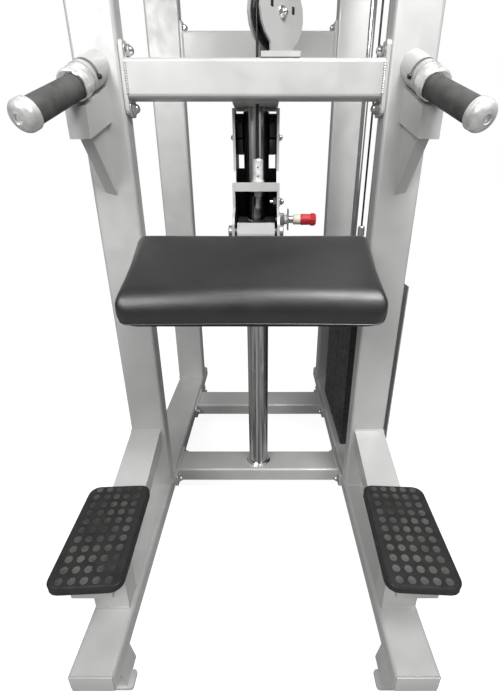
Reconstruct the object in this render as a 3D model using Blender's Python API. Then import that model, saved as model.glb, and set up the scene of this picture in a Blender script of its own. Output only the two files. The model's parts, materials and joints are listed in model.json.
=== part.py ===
"""Weight-assisted chin and dip machine with a folding knee pad.

Units are metres, +Z is up, the user faces +Y. The origin is on the floor under the middle of the
machine. Y is given from the front uprights' front faces (FACE_Y); heights are from the floor.
"""
import math

import bmesh
import bpy
from mathutils import Matrix, Vector

GAP = 0.0003                      # clearance kept between pieces that touch

# ---- driving dimensions -------------------------------------------------------------------------
FACE_Y = -0.169                   # front face of the front uprights
INNER_X = 0.279                   # inner faces of the rails and uprights
RAIL_TOP = 0.110
RAIL_HEIGHT = 0.050
TUBE_WALL = 0.0035
TUBE_CORNER = 0.008

FRONT_TUBE_WIDTH = 0.100
FRONT_TUBE_DEPTH = 0.050
REAR_TUBE_WIDTH = 0.120
REAR_TUBE_DEPTH = 0.060
FRONT_RAIL_WIDTH = 0.092
RAIL_FRONT_Y = FACE_Y - 0.527
REAR_UPRIGHT_Y = FACE_Y + 0.735   # front face of the rear uprights
RAIL_REAR_Y = REAR_UPRIGHT_Y + 0.130
FRONT_UPRIGHT_TOP = 2.150
REAR_UPRIGHT_TOP = 1.840

LOWER_FRONT_CROSS_Y = (FACE_Y + 0.075, FACE_Y + 0.175)
LOWER_REAR_CROSS_Y = (FACE_Y + 0.489, FACE_Y + 0.608)
UPPER_CROSS_Z = (1.170, 1.243)
UPPER_REAR_CROSS_Z = (1.375, 1.495)
SIDE_BEAM_Z = (1.780, 1.840)
TOP_CROSS_Z = (2.070, 2.148)

POST_Y = FACE_Y + 0.125
POST_RADIUS = 0.0315
POST_TOP = 1.1685

STROKE = 0.420                    # travel of the weight stack and of the carriage
CABLE_RADIUS = 0.0032
CABLE_X = 0.004
CABLE_Y = FACE_Y + 0.071
STACK_X = 0.352
STACK_Y = FACE_Y + 0.4125
PULLEY_PITCH_RADIUS = 0.058       # from the pulley's axis to the middle of the cable
PULLEY_RADIUS = 0.064
PULLEY_HALF_WIDTH = 0.012
CENTRE_PULLEY_Z = 1.345
STACK_PULLEY_Z = 1.700

PLATE_SIZE = (0.100, 0.400)
PLATE_PITCH = 0.0254
LIFTED_PLATES = 4
RESTING_PLATES = 17
STACK_BOTTOM = RAIL_TOP + GAP
TOP_PLATE_HEIGHT = 0.034
ROD_RADIUS = 0.0105
ROD_OFFSET_Y = 0.115
STEM_RADIUS = 0.011
STEM_TOP = 0.835

CARRIAGE_HALF_WIDTH = 0.056
CARRIAGE_PLATE = 0.006
ROLLER_WAIST = 0.028
ROLLER_CLEARANCE = 0.0007
ROLLER_OFFSET = POST_RADIUS + ROLLER_CLEARANCE + ROLLER_WAIST
UPPER_ROLLER_Z = 1.112
LOWER_ROLLER_Z = 0.885
SHELF_Z = (0.985, 1.005)
STUD_TOP = 1.056

PAD_PIVOT = (FACE_Y - 0.006, 0.897)
PAD_TILT = math.radians(-24)      # the pad's front edge hangs down
PAD_SIZE = (0.528, 0.250, 0.066)
PAD_BOARD = 0.012
PAD_CENTRE = (FACE_Y - 0.158, 0.8235)
PAD_X = -0.005

PIN_Y = FACE_Y + 0.014
PIN_Z = 0.9225

FOOT_PLATE_SIZE = (0.149, 0.276, 0.018)
FOOT_PLATE_CENTRE = (0.339, FACE_Y - 0.336)
FOOT_PLATE_TOP = 0.292
FOOT_PLATE_TOE_IN = math.radians(3)

COLLAR_START = Vector((0.333, FACE_Y - 0.002, 1.222))
COLLAR_AXIS = Vector((0.17, -0.87, -0.46)).normalized()
COLLAR_LENGTH = 0.061
COLLAR_RADIUS = 0.0295
COLLAR_BORE = 0.0240
SHAFT_START = 0.017               # along the collar's axis
STOP_PIN_AT = 0.043
HUB_RADIUS = 0.0285
HUB_END = 0.104
GRIP_ROOT_AT = 0.085
GRIP_ROOT_OFFSET = 0.013          # the grip's bar leaves the hub this far off its axis
GRIP_AXIS = Vector((0.31, -0.84, -0.44)).normalized()
GRIP_RADIUS = 0.0236
GRIP_START = 0.0225               # along the grip, from where its bar leaves the hub
GRIP_LENGTH = 0.128
HANDLE_ROD_RADIUS = 0.0125

CHIN_BAR_RADIUS = 0.016

SHROUD_LOW = (0.4098, FACE_Y + 0.060, 0.075)
SHROUD_HIGH = (0.4126, FACE_Y + 0.7347, 0.745)

SIDES = (("left", -1), ("right", 1))

# colour, metallic, roughness
FINISHES = {
    "frame_paint": ((0.62, 0.62, 0.61), 0.35, 0.38),
    "chrome": ((0.82, 0.82, 0.82), 1.0, 0.08),
    "zinc": ((0.66, 0.66, 0.64), 1.0, 0.30),
    "black_rubber": ((0.030, 0.030, 0.030), 0.0, 0.65),
    "grip_rubber": ((0.075, 0.074, 0.072), 0.0, 0.70),
    "black_plastic": ((0.018, 0.018, 0.018), 0.0, 0.40),
    "upholstery": ((0.030, 0.030, 0.030), 0.0, 0.42),
    "stack_paint": ((0.045, 0.045, 0.043), 0.2, 0.45),
    "red_knob": ((0.42, 0.015, 0.025), 0.3, 0.30),
    "cable_sheath": ((0.015, 0.015, 0.015), 0.0, 0.35),
}


def clear_scene():
    for item in list(bpy.data.objects):
        bpy.data.objects.remove(item)


def finish(name):
    """The material of this name, made the first time it is asked for."""
    found = bpy.data.materials.get(name)
    if found:
        return found
    colour, metallic, roughness = FINISHES[name]
    made = bpy.data.materials.new(name)
    made.use_nodes = True
    shader = made.node_tree.nodes["Principled BSDF"]
    shader.inputs["Base Color"].default_value = (*colour, 1.0)
    shader.inputs["Metallic"].default_value = metallic
    shader.inputs["Roughness"].default_value = roughness
    return made


def add(name, bm, material, matrix=None, smooth=False):
    """Turn a bmesh into a named object, with its faces pointing out."""
    bmesh.ops.recalc_face_normals(bm, faces=bm.faces)
    mesh = bpy.data.meshes.new(name)
    bm.to_mesh(mesh)
    bm.free()
    mesh.materials.append(finish(material))
    if smooth:
        mesh.shade_smooth()
        mesh.set_sharp_from_angle(angle=math.radians(35))
    item = bpy.data.objects.new(name, mesh)
    bpy.context.scene.collection.objects.link(item)
    if matrix is not None:
        item.matrix_world = matrix
    return item


def combine(item, other, operation):
    """Boolean other into item; other stays as a hidden guide."""
    step = item.modifiers.new(operation.title(), "BOOLEAN")
    step.operation = operation
    step.solver = "EXACT"
    step.object = other
    other.hide_render = True
    other.display_type = "WIRE"
    return item


def union(item, *others):
    for other in others:
        combine(item, other, "UNION")
    return item


def cut(item, *others):
    for other in others:
        combine(item, other, "DIFFERENCE")
    return item


def frame_to(start, end, across):
    """A matrix whose Z runs from start to end and whose X lies along across."""
    z = (Vector(end) - Vector(start)).normalized()
    x = Vector(across)
    x = (x - z * x.dot(z)).normalized()
    y = z.cross(x)
    turn = Matrix((x, y, z)).transposed().to_4x4()
    return Matrix.Translation(Vector(start)) @ turn


def rounded_outline(width, depth, radius, steps=3):
    """Corner-rounded rectangle about the origin, as a list of (x, y)."""
    points = []
    corners = ((1, 1, 0), (-1, 1, 90), (-1, -1, 180), (1, -1, 270))
    for sx, sy, first in corners:
        cx = sx * (width / 2 - radius)
        cy = sy * (depth / 2 - radius)
        for i in range(steps + 1):
            a = math.radians(first + 90 * i / steps)
            points.append((cx + radius * math.cos(a), cy + radius * math.sin(a)))
    return points


def extrude_outline(outline, low, high):
    """A closed prism over outline, from z = low to z = high."""
    bm = bmesh.new()
    bottom = [bm.verts.new((x, y, low)) for x, y in outline]
    top = [bm.verts.new((x, y, high)) for x, y in outline]
    bm.faces.new(reversed(bottom))
    bm.faces.new(top)
    count = len(outline)
    for i in range(count):
        j = (i + 1) % count
        bm.faces.new((bottom[i], bottom[j], top[j], top[i]))
    return bm


def tube(name, start, end, across, width, depth, closed=False):
    """A rectangular tube with rounded corners. Its far end is open, and its near end may be closed."""
    length = (Vector(end) - Vector(start)).length
    outer = rounded_outline(width, depth, TUBE_CORNER)
    inner = rounded_outline(width - 2 * TUBE_WALL, depth - 2 * TUBE_WALL, TUBE_CORNER - TUBE_WALL)
    bm = bmesh.new()
    rings = []
    floor = TUBE_WALL if closed else 0.0
    for outline, z in ((outer, 0.0), (outer, length), (inner, length), (inner, floor)):
        rings.append([bm.verts.new((x, y, z)) for x, y in outline])
    pairs = list(zip(rings, rings[1:]))
    if closed:
        bm.faces.new(rings[0])
        bm.faces.new(rings[-1])
    else:
        pairs.append((rings[-1], rings[0]))
    for a, b in pairs:
        for i in range(len(a)):
            j = (i + 1) % len(a)
            bm.faces.new((a[i], a[j], b[j], b[i]))
    return add(name, bm, "frame_paint", frame_to(start, end, across))


def box(name, low, high, material="frame_paint", corner=0.0, matrix=None):
    """A block between two corners, with its upright edges rounded by corner."""
    middle = [(a + b) / 2 for a, b in zip(low, high)]
    size = [b - a for a, b in zip(low, high)]
    if corner:
        outline = rounded_outline(size[0], size[1], corner)
    else:
        outline = [(sx * size[0] / 2, sy * size[1] / 2) for sx, sy in ((1, 1), (-1, 1), (-1, -1), (1, -1))]
    bm = extrude_outline(outline, -size[2] / 2, size[2] / 2)
    place = Matrix.Translation(middle)
    return add(name, bm, material, place if matrix is None else matrix @ place)


def plate_yz(name, outline, x_low, x_high, material="frame_paint"):
    """A flat plate whose outline is given as (y, z) and whose thickness runs along X."""
    bm = extrude_outline(outline, x_low, x_high)
    turn = Matrix(((0, 0, 1, 0), (1, 0, 0, 0), (0, 1, 0, 0), (0, 0, 0, 1)))
    return add(name, bm, material, turn)


def turned(profile, steps):
    """Revolve (radius, z) points about Z. Points on the axis close the ends."""
    bm = bmesh.new()
    rings = []
    for radius, z in profile:
        if radius == 0:
            rings.append([bm.verts.new((0, 0, z))])
            continue
        angles = [2 * math.pi * i / steps for i in range(steps)]
        rings.append([bm.verts.new((radius * math.cos(a), radius * math.sin(a), z)) for a in angles])
    for a, b in zip(rings, rings[1:]):
        for i in range(steps):
            j = (i + 1) % steps
            if len(a) == 1:
                bm.faces.new((a[0], b[j], b[i]))
            elif len(b) == 1:
                bm.faces.new((a[i], a[j], b[0]))
            else:
                bm.faces.new((a[i], a[j], b[j], b[i]))
    if len(rings[0]) > 1 and len(rings[-1]) > 1:
        raise ValueError("a turned profile starts and ends on the axis")
    return bm


def ring_profile(profile, steps):
    """Revolve a closed (radius, z) loop about Z, leaving a hole through the middle."""
    bm = bmesh.new()
    rings = []
    for radius, z in profile:
        angles = [2 * math.pi * i / steps for i in range(steps)]
        rings.append([bm.verts.new((radius * math.cos(a), radius * math.sin(a), z)) for a in angles])
    for a, b in zip(rings, rings[1:] + rings[:1]):
        for i in range(steps):
            j = (i + 1) % steps
            bm.faces.new((a[i], a[j], b[j], b[i]))
    return bm


def rod(name, start, end, radius, material, steps=20):
    length = (Vector(end) - Vector(start)).length
    bm = turned([(0, 0), (radius, 0), (radius, length), (0, length)], steps)
    side = (1, 0, 0) if abs((Vector(end) - Vector(start)).normalized().x) < 0.9 else (0, 1, 0)
    return add(name, bm, material, frame_to(start, end, side), smooth=True)


def mirrored(point, side):
    return Vector((point[0] * side, point[1], point[2]))


# ---- base frame -------------------------------------------------------------------------------
def base_rails():
    middle_z = RAIL_TOP - RAIL_HEIGHT / 2
    front_end = FACE_Y + FRONT_TUBE_DEPTH
    for word, side in SIDES:
        x = side * (INNER_X + FRONT_RAIL_WIDTH / 2)
        tube(f"{word}_front_rail", (x, RAIL_FRONT_Y, middle_z), (x, front_end, middle_z), (1, 0, 0),
             FRONT_RAIL_WIDTH, RAIL_HEIGHT, closed=True)
        x = side * (INNER_X + REAR_TUBE_WIDTH / 2)
        tube(f"{word}_rear_rail", (x, RAIL_REAR_Y, middle_z), (x, front_end + GAP, middle_z), (1, 0, 0),
             REAR_TUBE_WIDTH, RAIL_HEIGHT, closed=True)


def foot(name, x, y, side):
    """A short leg that flares towards the middle, on a small base plate."""
    top = RAIL_TOP - RAIL_HEIGHT - GAP
    outer, inner, flared = x + side * 0.034, x - side * 0.040, x - side * 0.050
    outline = ((outer, 0.004), (outer, top), (inner, top), (flared, 0.004))
    lay_down = Matrix.Rotation(math.pi / 2, 4, "X")
    leg = add(name, extrude_outline(outline, -y - 0.030, -y + 0.030), "frame_paint", lay_down)
    ends = sorted((x - side * 0.062, x + side * 0.038))
    base = box(f"{name}_base", (ends[0], y - 0.034, 0), (ends[1], y + 0.002, 0.008), corner=0.006)
    union(leg, base)


def feet():
    for word, side in SIDES:
        front_x = side * (INNER_X + FRONT_RAIL_WIDTH / 2)
        rear_x = side * (INNER_X + REAR_TUBE_WIDTH / 2)
        foot(f"{word}_front_foot", front_x, RAIL_FRONT_Y + 0.062, side)
        foot(f"{word}_rear_foot", rear_x, RAIL_REAR_Y - 0.062, side)


def uprights():
    for word, side in SIDES:
        x = side * (INNER_X + FRONT_TUBE_WIDTH / 2)
        y = FACE_Y + FRONT_TUBE_DEPTH / 2
        tube(f"{word}_front_upright", (x, y, FRONT_UPRIGHT_TOP), (x, y, RAIL_TOP + GAP), (1, 0, 0),
             FRONT_TUBE_WIDTH, FRONT_TUBE_DEPTH, closed=True)
        x = side * (INNER_X + REAR_TUBE_WIDTH / 2)
        y = REAR_UPRIGHT_Y + REAR_TUBE_DEPTH / 2
        tube(f"{word}_rear_upright", (x, y, REAR_UPRIGHT_TOP), (x, y, RAIL_TOP + GAP), (1, 0, 0),
             REAR_TUBE_WIDTH, REAR_TUBE_DEPTH, closed=True)


def cross_member(name, y_range, z_range, ears_up=0.0, ears_side=0.0):
    """A tube between the two sides, with an end plate whose ears take its bolts."""
    y, z = sum(y_range) / 2, sum(z_range) / 2
    depth, height = y_range[1] - y_range[0], z_range[1] - z_range[0]
    end_x = INNER_X - GAP
    beam_end = end_x - 0.003
    beam = tube(name, (-beam_end, y, z), (beam_end, y, z), (0, 1, 0), depth, height)
    lip = 2 * TUBE_WALL + 0.003
    window = rounded_outline(depth - lip, height - lip, TUBE_CORNER - TUBE_WALL)
    for word, side in SIDES:
        outline = rounded_outline(depth + 2 * ears_side, height + 2 * ears_up, 0.010)
        outline = [(y + a, z + b) for a, b in outline]
        inner, outer = side * (end_x - 0.008), side * end_x
        ends = (min(inner, outer), max(inner, outer))
        end_plate = plate_yz(f"{name}_{word}_plate", outline, *ends)
        opening = [(y + a, z + b) for a, b in window]
        clear = plate_yz(f"{name}_{word}_window", opening, ends[0] - 0.003, ends[1] + 0.003)
        cut(end_plate, clear)
        union(beam, end_plate)
    return beam


def cross_members():
    rail_z = (RAIL_TOP - RAIL_HEIGHT, RAIL_TOP)
    cross_member("lower_front_cross", LOWER_FRONT_CROSS_Y, rail_z, ears_side=0.030)
    cross_member("lower_rear_cross", LOWER_REAR_CROSS_Y, rail_z, ears_side=0.030)
    rear_y = (REAR_UPRIGHT_Y, REAR_UPRIGHT_Y + REAR_TUBE_DEPTH)
    cross_member("upper_rear_cross", rear_y, UPPER_REAR_CROSS_Z, ears_up=0.030)
    top_y = (FACE_Y, FACE_Y + FRONT_TUBE_DEPTH)
    cross_member("top_cross", top_y, TOP_CROSS_Z)
    upper = cross_member("upper_front_cross", top_y, UPPER_CROSS_Z, ears_up=0.032)
    union(upper, post_top_plate())


def post_top_plate():
    """The tongue behind the upper cross that holds the post's top; the cable passes through it."""
    low = (-0.052, FACE_Y + FRONT_TUBE_DEPTH - 0.002, POST_TOP + GAP)
    high = (0.052, POST_Y + 0.045, UPPER_CROSS_Z[0] + 0.006)
    tongue = box("post_top_plate", low, high)
    hole = rod("cable_hole", (CABLE_X, CABLE_Y, 1.1), (CABLE_X, CABLE_Y, 1.2), 0.009, "zinc", 12)
    return cut(tongue, hole)


def side_beams():
    z = sum(SIDE_BEAM_Z) / 2
    start = FACE_Y + FRONT_TUBE_DEPTH + GAP
    for word, side in SIDES:
        x = side * (INNER_X + REAR_TUBE_WIDTH / 2 - 0.005)
        tube(f"{word}_side_beam", (x, start, z), (x, REAR_UPRIGHT_Y - GAP, z), (1, 0, 0),
             0.110, SIDE_BEAM_Z[1] - SIDE_BEAM_Z[0])


# ---- steps ------------------------------------------------------------------------------------
def step_supports():
    """A sloping arm from each front upright, a shelf under the step and a short pedestal."""
    arm_top = 0.322
    shelf_top = FOOT_PLATE_TOP - FOOT_PLATE_SIZE[2] - 0.004
    thickness = 0.050
    bend_y = FACE_Y - 0.190
    front_y = FACE_Y - 0.445
    for word, side in SIDES:
        outline = [
            (FACE_Y - GAP, arm_top),
            (bend_y, shelf_top),
            (front_y, shelf_top),
            (front_y, shelf_top - thickness),
            (bend_y - 0.006, shelf_top - thickness),
            (FACE_Y - GAP, arm_top - thickness - 0.006),
        ]
        x_low, x_high = sorted((side * 0.2915, side * 0.3775))
        arm = plate_yz(f"{word}_step_arm", outline, x_low, x_high)
        low_x, high_x = sorted((side * 0.289, side * 0.366))
        pedestal = box(f"{word}_pedestal", (low_x, FACE_Y - 0.392, RAIL_TOP + GAP),
                       (high_x, FACE_Y - 0.342, shelf_top - 0.02))
        x, y = FOOT_PLATE_CENTRE
        turn = Matrix.Translation((side * x, y, 0)) @ Matrix.Rotation(-side * FOOT_PLATE_TOE_IN, 4, "Z")
        half_x, half_y = FOOT_PLATE_SIZE[0] / 2 - 0.008, FOOT_PLATE_SIZE[1] / 2 - 0.008
        tray = box(f"{word}_step_tray", (-half_x, -half_y, shelf_top - 0.002),
                   (half_x, half_y, shelf_top + 0.004 - GAP), corner=0.018, matrix=turn)
        union(arm, pedestal, tray)


def foot_plates():
    """Rubber treads; a chamfer runs round the top edge."""
    width, length, height = FOOT_PLATE_SIZE
    for word, side in SIDES:
        bm = bmesh.new()
        rings = []
        for inset, z in ((0.0, 0.0), (0.0, height - 0.005), (0.005, height)):
            outline = rounded_outline(width - 2 * inset, length - 2 * inset, 0.025 - inset, 4)
            rings.append([bm.verts.new((x, y, z)) for x, y in outline])
        bm.faces.new(reversed(rings[0]))
        bm.faces.new(rings[-1])
        for a, b in zip(rings, rings[1:]):
            for i in range(len(a)):
                j = (i + 1) % len(a)
                bm.faces.new((a[i], a[j], b[j], b[i]))
        x, y = FOOT_PLATE_CENTRE
        place = Matrix.Translation((side * x, y, FOOT_PLATE_TOP - height))
        turn = Matrix.Rotation(-side * FOOT_PLATE_TOE_IN, 4, "Z")
        add(f"{word}_foot_plate", bm, "black_rubber", place @ turn)


# ---- chin-up bars -------------------------------------------------------------------------------
def chin_bars():
    """A bent bar out of each front upright: forward, then outward and slightly down."""
    root_z = 2.110
    forward = 0.300
    reach = Vector((0.300, -0.040, -0.075))
    for word, side in SIDES:
        start = mirrored((INNER_X + FRONT_TUBE_WIDTH / 2, FACE_Y - GAP, root_z), side)
        corner = start + Vector((0, -forward, 0))
        tip = corner + mirrored(reach, side)
        out = (tip - corner).normalized()
        points = [start]
        bend = 0.070
        steps = 6
        for i in range(steps + 1):
            t = i / steps
            a = corner + Vector((0, bend, 0))
            b = corner + out * bend
            points.append(a * (1 - t) ** 2 + corner * 2 * t * (1 - t) + b * t ** 2)
        points.append(tip)
        pipe(f"{word}_chin_bar", points, CHIN_BAR_RADIUS, "frame_paint")


def pipe(name, points, radius, material, resolution=3):
    """A round bar along a chain of points, with flat ends."""
    curve = bpy.data.curves.new(name, "CURVE")
    curve.dimensions = "3D"
    curve.bevel_depth = radius
    curve.bevel_resolution = resolution
    curve.use_fill_caps = True
    curve.materials.append(finish(material))
    line = curve.splines.new("POLY")
    line.points.add(len(points) - 1)
    for target, point in zip(line.points, points):
        target.co = (*point, 1.0)
    item = bpy.data.objects.new(name, curve)
    bpy.context.scene.collection.objects.link(item)
    return item


def sleeve(name, start, end, inner, outer, material="grip_rubber"):
    """A soft tube over a bar."""
    start, end = Vector(start), Vector(end)
    length = (end - start).length
    edge = 0.002
    profile = [(inner, 0), (outer - edge, 0), (outer, edge), (outer, length - edge), (outer - edge, length),
               (inner, length)]
    return add(name, ring_profile(profile, 20), material, frame_to(start, end, (0, 0, 1)), smooth=True)


# ---- post and carriage ----------------------------------------------------------------------------
def guide_post():
    rod("guide_post", (0, POST_Y, RAIL_TOP + GAP), (0, POST_Y, POST_TOP), POST_RADIUS, "chrome", 32)


def carriage_outline():
    """Side view of a carriage plate as (y, z)."""
    shape = ((0.086, 1.1645), (0.212, 1.1645), (0.222, 1.140), (0.222, 0.842), (0.214, 0.834), (0.034, 0.834),
             (-0.024, 0.874), (-0.024, 0.914), (-0.012, 0.930), (0.022, 0.946), (0.022, 1.004),
             (0.074, 1.004), (0.086, 1.030))
    return [(FACE_Y + y, z) for y, z in shape]


def carriage_frame():
    """Two side plates joined by a shelf in front of the post and a panel behind it."""
    outer, inner = CARRIAGE_HALF_WIDTH, CARRIAGE_HALF_WIDTH - CARRIAGE_PLATE
    outline = carriage_outline()
    body = plate_yz("carriage_frame", outline, -outer, -inner)
    right = plate_yz("carriage_right_plate", outline, inner, outer)
    shelf = box("carriage_shelf", (-inner - 0.002, FACE_Y + 0.0225, SHELF_Z[0]),
                (inner + 0.002, FACE_Y + 0.089, SHELF_Z[1] - 0.0005))
    back = box("carriage_back", (-inner - 0.002, FACE_Y + 0.2135, 0.845),
               (inner + 0.002, FACE_Y + 0.2195, 1.040))
    housing = rod("pin_housing", (inner + 0.002, PIN_Y, PIN_Z), (outer + 0.022, PIN_Y, PIN_Z), 0.0110,
                  "zinc", 12)
    bridge = box("carriage_bridge", (-inner - 0.002, FACE_Y + 0.167, 1.1535),
                 (inner + 0.002, FACE_Y + 0.2115, 1.1640))
    union(body, right, shelf, back, bridge, housing)
    stud_hole = rod("stud_hole", (CABLE_X, CABLE_Y, 0.97), (CABLE_X, CABLE_Y, 1.02), 0.0103, "zinc", 16)
    y, z = PAD_PIVOT
    hinge_hole = rod("hinge_hole", (-0.08, y, z), (0.08, y, z), 0.0086, "zinc", 16)
    pin_hole = rod("pin_hole", (0.03, PIN_Y, PIN_Z), (0.1, PIN_Y, PIN_Z), 0.0056, "zinc", 12)
    cut(body, stud_hole, hinge_hole, pin_hole)


def cable_stud():
    """Threaded end of the cable: a rod through the shelf with a crimped sleeve on top."""
    rest = SHELF_Z[1]
    profile = [(0, 0.942), (0.0065, 0.9425), (0.0098, 0.946), (0.0098, rest), (0.0150, rest),
               (0.0150, rest + 0.005), (0.0130, rest + 0.005), (0.0130, STUD_TOP - 0.003), (0.0112, STUD_TOP),
               (0, STUD_TOP)]
    add("cable_stud", turned(profile, 20), "zinc", Matrix.Translation((CABLE_X, CABLE_Y, 0)), smooth=True)


def roller_profile():
    """Half of a roller whose waist follows the post."""
    half = CARRIAGE_HALF_WIDTH - CARRIAGE_PLATE - 0.0035
    reach = 0.0255
    steps = 4
    arc = []
    for i in range(-steps, steps + 1):
        x = reach * i / steps
        arc.append((ROLLER_OFFSET - math.sqrt((POST_RADIUS + ROLLER_CLEARANCE) ** 2 - x * x), x))
    rim = arc[0][0]
    hub = 0.010
    end = half + 0.0030
    profile = [(0, -end), (hub, -end), (hub, -half), (rim - 0.002, -half), (rim, -half + 0.002)]
    profile += arc
    profile += [(rim, half - 0.002), (rim - 0.002, half), (hub, half), (hub, end), (0, end)]
    return profile


def rollers():
    turn = Matrix.Rotation(math.pi / 2, 4, "Y")
    for name, y, z in (("upper_roller", POST_Y + ROLLER_OFFSET, UPPER_ROLLER_Z),
                       ("lower_roller", POST_Y - ROLLER_OFFSET, LOWER_ROLLER_Z)):
        place = Matrix.Translation((0, y, z))
        add(name, turned(roller_profile(), 24), "black_plastic", place @ turn, smooth=True)


# ---- knee pad ---------------------------------------------------------------------------------------
def pad_frame():
    """The pad's own axes: X across, Y from its front edge to its back edge, Z out of its top."""
    y, z = PAD_CENTRE
    return Matrix.Translation((PAD_X, y, z)) @ Matrix.Rotation(-PAD_TILT, 4, "X")


def knee_pad():
    width, depth, height = PAD_SIZE
    foam_low = -height / 2 + PAD_BOARD + GAP
    bm = bmesh.new()
    rings = []
    for inset, z in ((0.008, foam_low), (0.0, foam_low + 0.010), (0.0, height / 2 - 0.016),
                     (0.005, height / 2 - 0.005), (0.016, height / 2)):
        outline = rounded_outline(width - 2 * inset, depth - 2 * inset, 0.035 - inset, 4)
        rings.append([bm.verts.new((x, y, z)) for x, y in outline])
    bm.faces.new(reversed(rings[0]))
    bm.faces.new(rings[-1])
    for a, b in zip(rings, rings[1:]):
        for i in range(len(a)):
            j = (i + 1) % len(a)
            bm.faces.new((a[i], a[j], b[j], b[i]))
    add("knee_pad", bm, "upholstery", pad_frame(), smooth=True)
    outline = rounded_outline(width - 0.012, depth - 0.012, 0.030, 4)
    board = extrude_outline(outline, -height / 2, -height / 2 + PAD_BOARD)
    add("pad_board", board, "black_plastic", pad_frame())


def pad_arm():
    """A bracket from the hinge bolt down behind the pad and forward under its board."""
    half = 0.044
    y, z = PAD_PIVOT
    drop = [(y + 0.021, z + 0.004), (y + 0.013, z + 0.018), (y - 0.004, z + 0.020), (y - 0.018, z + 0.011),
            (y - 0.021, z - 0.004), (y - 0.018, z - 0.096), (y + 0.012, z - 0.096), (y + 0.021, z - 0.020)]
    arm = plate_yz("pad_arm", drop, -half, half)
    top = -PAD_SIZE[2] / 2 - GAP
    under = box("pad_arm_shelf", (-half - PAD_X, -PAD_SIZE[1] / 2 + 0.045, top - 0.030),
                (half - PAD_X, PAD_SIZE[1] / 2 + 0.012, top), matrix=pad_frame())
    bore = rod("pad_arm_bore", (-0.06, y, z), (0.06, y, z), 0.0086, "zinc", 16)
    union(arm, under)
    cut(arm, bore)


def hinge_bolt():
    y, z = PAD_PIVOT
    outer = CARRIAGE_HALF_WIDTH + GAP
    head = outer + 0.009
    profile = [(0, -head), (0.0125, -head), (0.0140, -head + 0.002), (0.0140, -outer), (0.0080, -outer),
               (0.0080, outer), (0.0140, outer), (0.0140, head - 0.002), (0.0125, head), (0, head)]
    turn = Matrix.Translation((0, y, z)) @ Matrix.Rotation(math.pi / 2, 4, "Y")
    add("pad_hinge_bolt", turned(profile, 18), "zinc", turn, smooth=True)


def hang_pad():
    """Puts the pad's pieces on an empty at their hinge."""
    pivot = bpy.data.objects.new("pad_pivot", None)
    pivot.location = (0, *PAD_PIVOT)
    bpy.context.scene.collection.objects.link(pivot)
    bpy.context.view_layer.update()
    for name in ("pad_arm", "pad_board", "knee_pad"):
        item = bpy.data.objects[name]
        item.parent = pivot
        item.matrix_parent_inverse = pivot.matrix_world.inverted()


def pull_pin():
    """The spring pin that locks the pad arm, and its knob."""
    tip = CARRIAGE_HALF_WIDTH - CARRIAGE_PLATE - 0.003
    shoulder = CARRIAGE_HALF_WIDTH + 0.0223
    collar_end = shoulder + 0.028
    turn = Matrix.Translation((0, PIN_Y, PIN_Z)) @ Matrix.Rotation(math.pi / 2, 4, "Y")
    profile = [(0, tip), (0.0040, tip), (0.0052, tip + 0.002), (0.0052, shoulder), (0.0085, shoulder),
               (0.0085, collar_end), (0, collar_end)]
    add("pull_pin", turned(profile, 16), "zinc", turn, smooth=True)
    start = collar_end + GAP
    end = start + 0.037
    profile = [(0, start), (0.0115, start), (0.0130, start + 0.003), (0.0125, start + 0.022),
               (0.0140, end - 0.004), (0.0120, end), (0, end)]
    add("pull_knob", turned(profile, 18), "red_knob", turn, smooth=True)


# ---- pulleys, cables and weight stack -----------------------------------------------------------------
def pulley_direction():
    """Horizontal unit vector from the carriage's cable towards the stack's cable."""
    return Vector((STACK_X - CABLE_X, STACK_Y - CABLE_Y, 0)).normalized()


def pulley_centres():
    d = pulley_direction()
    centre = Vector((CABLE_X, CABLE_Y, CENTRE_PULLEY_Z)) + d * PULLEY_PITCH_RADIUS
    stack = Vector((STACK_X, STACK_Y, STACK_PULLEY_Z)) - d * PULLEY_PITCH_RADIUS
    return centre, stack


def pulley_axes(centre):
    """X along the pulley's plane, Y up, Z along its axle."""
    d = pulley_direction()
    up = Vector((0, 0, 1))
    turn = Matrix((d, up, d.cross(up))).transposed().to_4x4()
    return Matrix.Translation(centre) @ turn


def pulley(name, centre):
    groove = CABLE_RADIUS + GAP
    floor = PULLEY_PITCH_RADIUS
    profile = [(0, -0.0150), (0.012, -0.0150), (0.012, -PULLEY_HALF_WIDTH), (PULLEY_RADIUS, -PULLEY_HALF_WIDTH)]
    profile.append((PULLEY_RADIUS, -groove - 0.003))
    for i in range(5):
        a = math.pi * (0.5 + i / 4)
        profile.append((floor + groove * math.cos(a), -groove * math.sin(a)))
    profile.append((PULLEY_RADIUS, groove + 0.003))
    profile += [(PULLEY_RADIUS, PULLEY_HALF_WIDTH), (0.012, PULLEY_HALF_WIDTH), (0.012, 0.0150), (0, 0.0150)]
    add(name, turned(profile, 28), "black_plastic", pulley_axes(centre), smooth=True)


def cheek_outline(radius, foot_half, foot_y, steps=16):
    """A disc about the axle, with a straight neck down (or up) to its foot."""
    down = -1 if foot_y < 0 else 1
    wrap = math.acos(foot_half / radius)
    points = []
    for i in range(steps + 1):
        a = (math.pi + 2 * wrap) * i / steps - wrap
        points.append((radius * math.cos(a), -down * radius * math.sin(a)))
    points += [(-foot_half, foot_y), (foot_half, foot_y)]
    return points


def cheeks(name, centre, radius, foot_half, foot_y):
    """Two side plates, one each side of a pulley."""
    outline = cheek_outline(radius, foot_half, foot_y)
    made = []
    for word, low in (("near", -0.0210), ("far", 0.0160)):
        bm = extrude_outline(outline, low, low + 0.005)
        made.append(add(f"{name}_{word}_cheek", bm, "frame_paint", pulley_axes(centre)))
    return made


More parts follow.
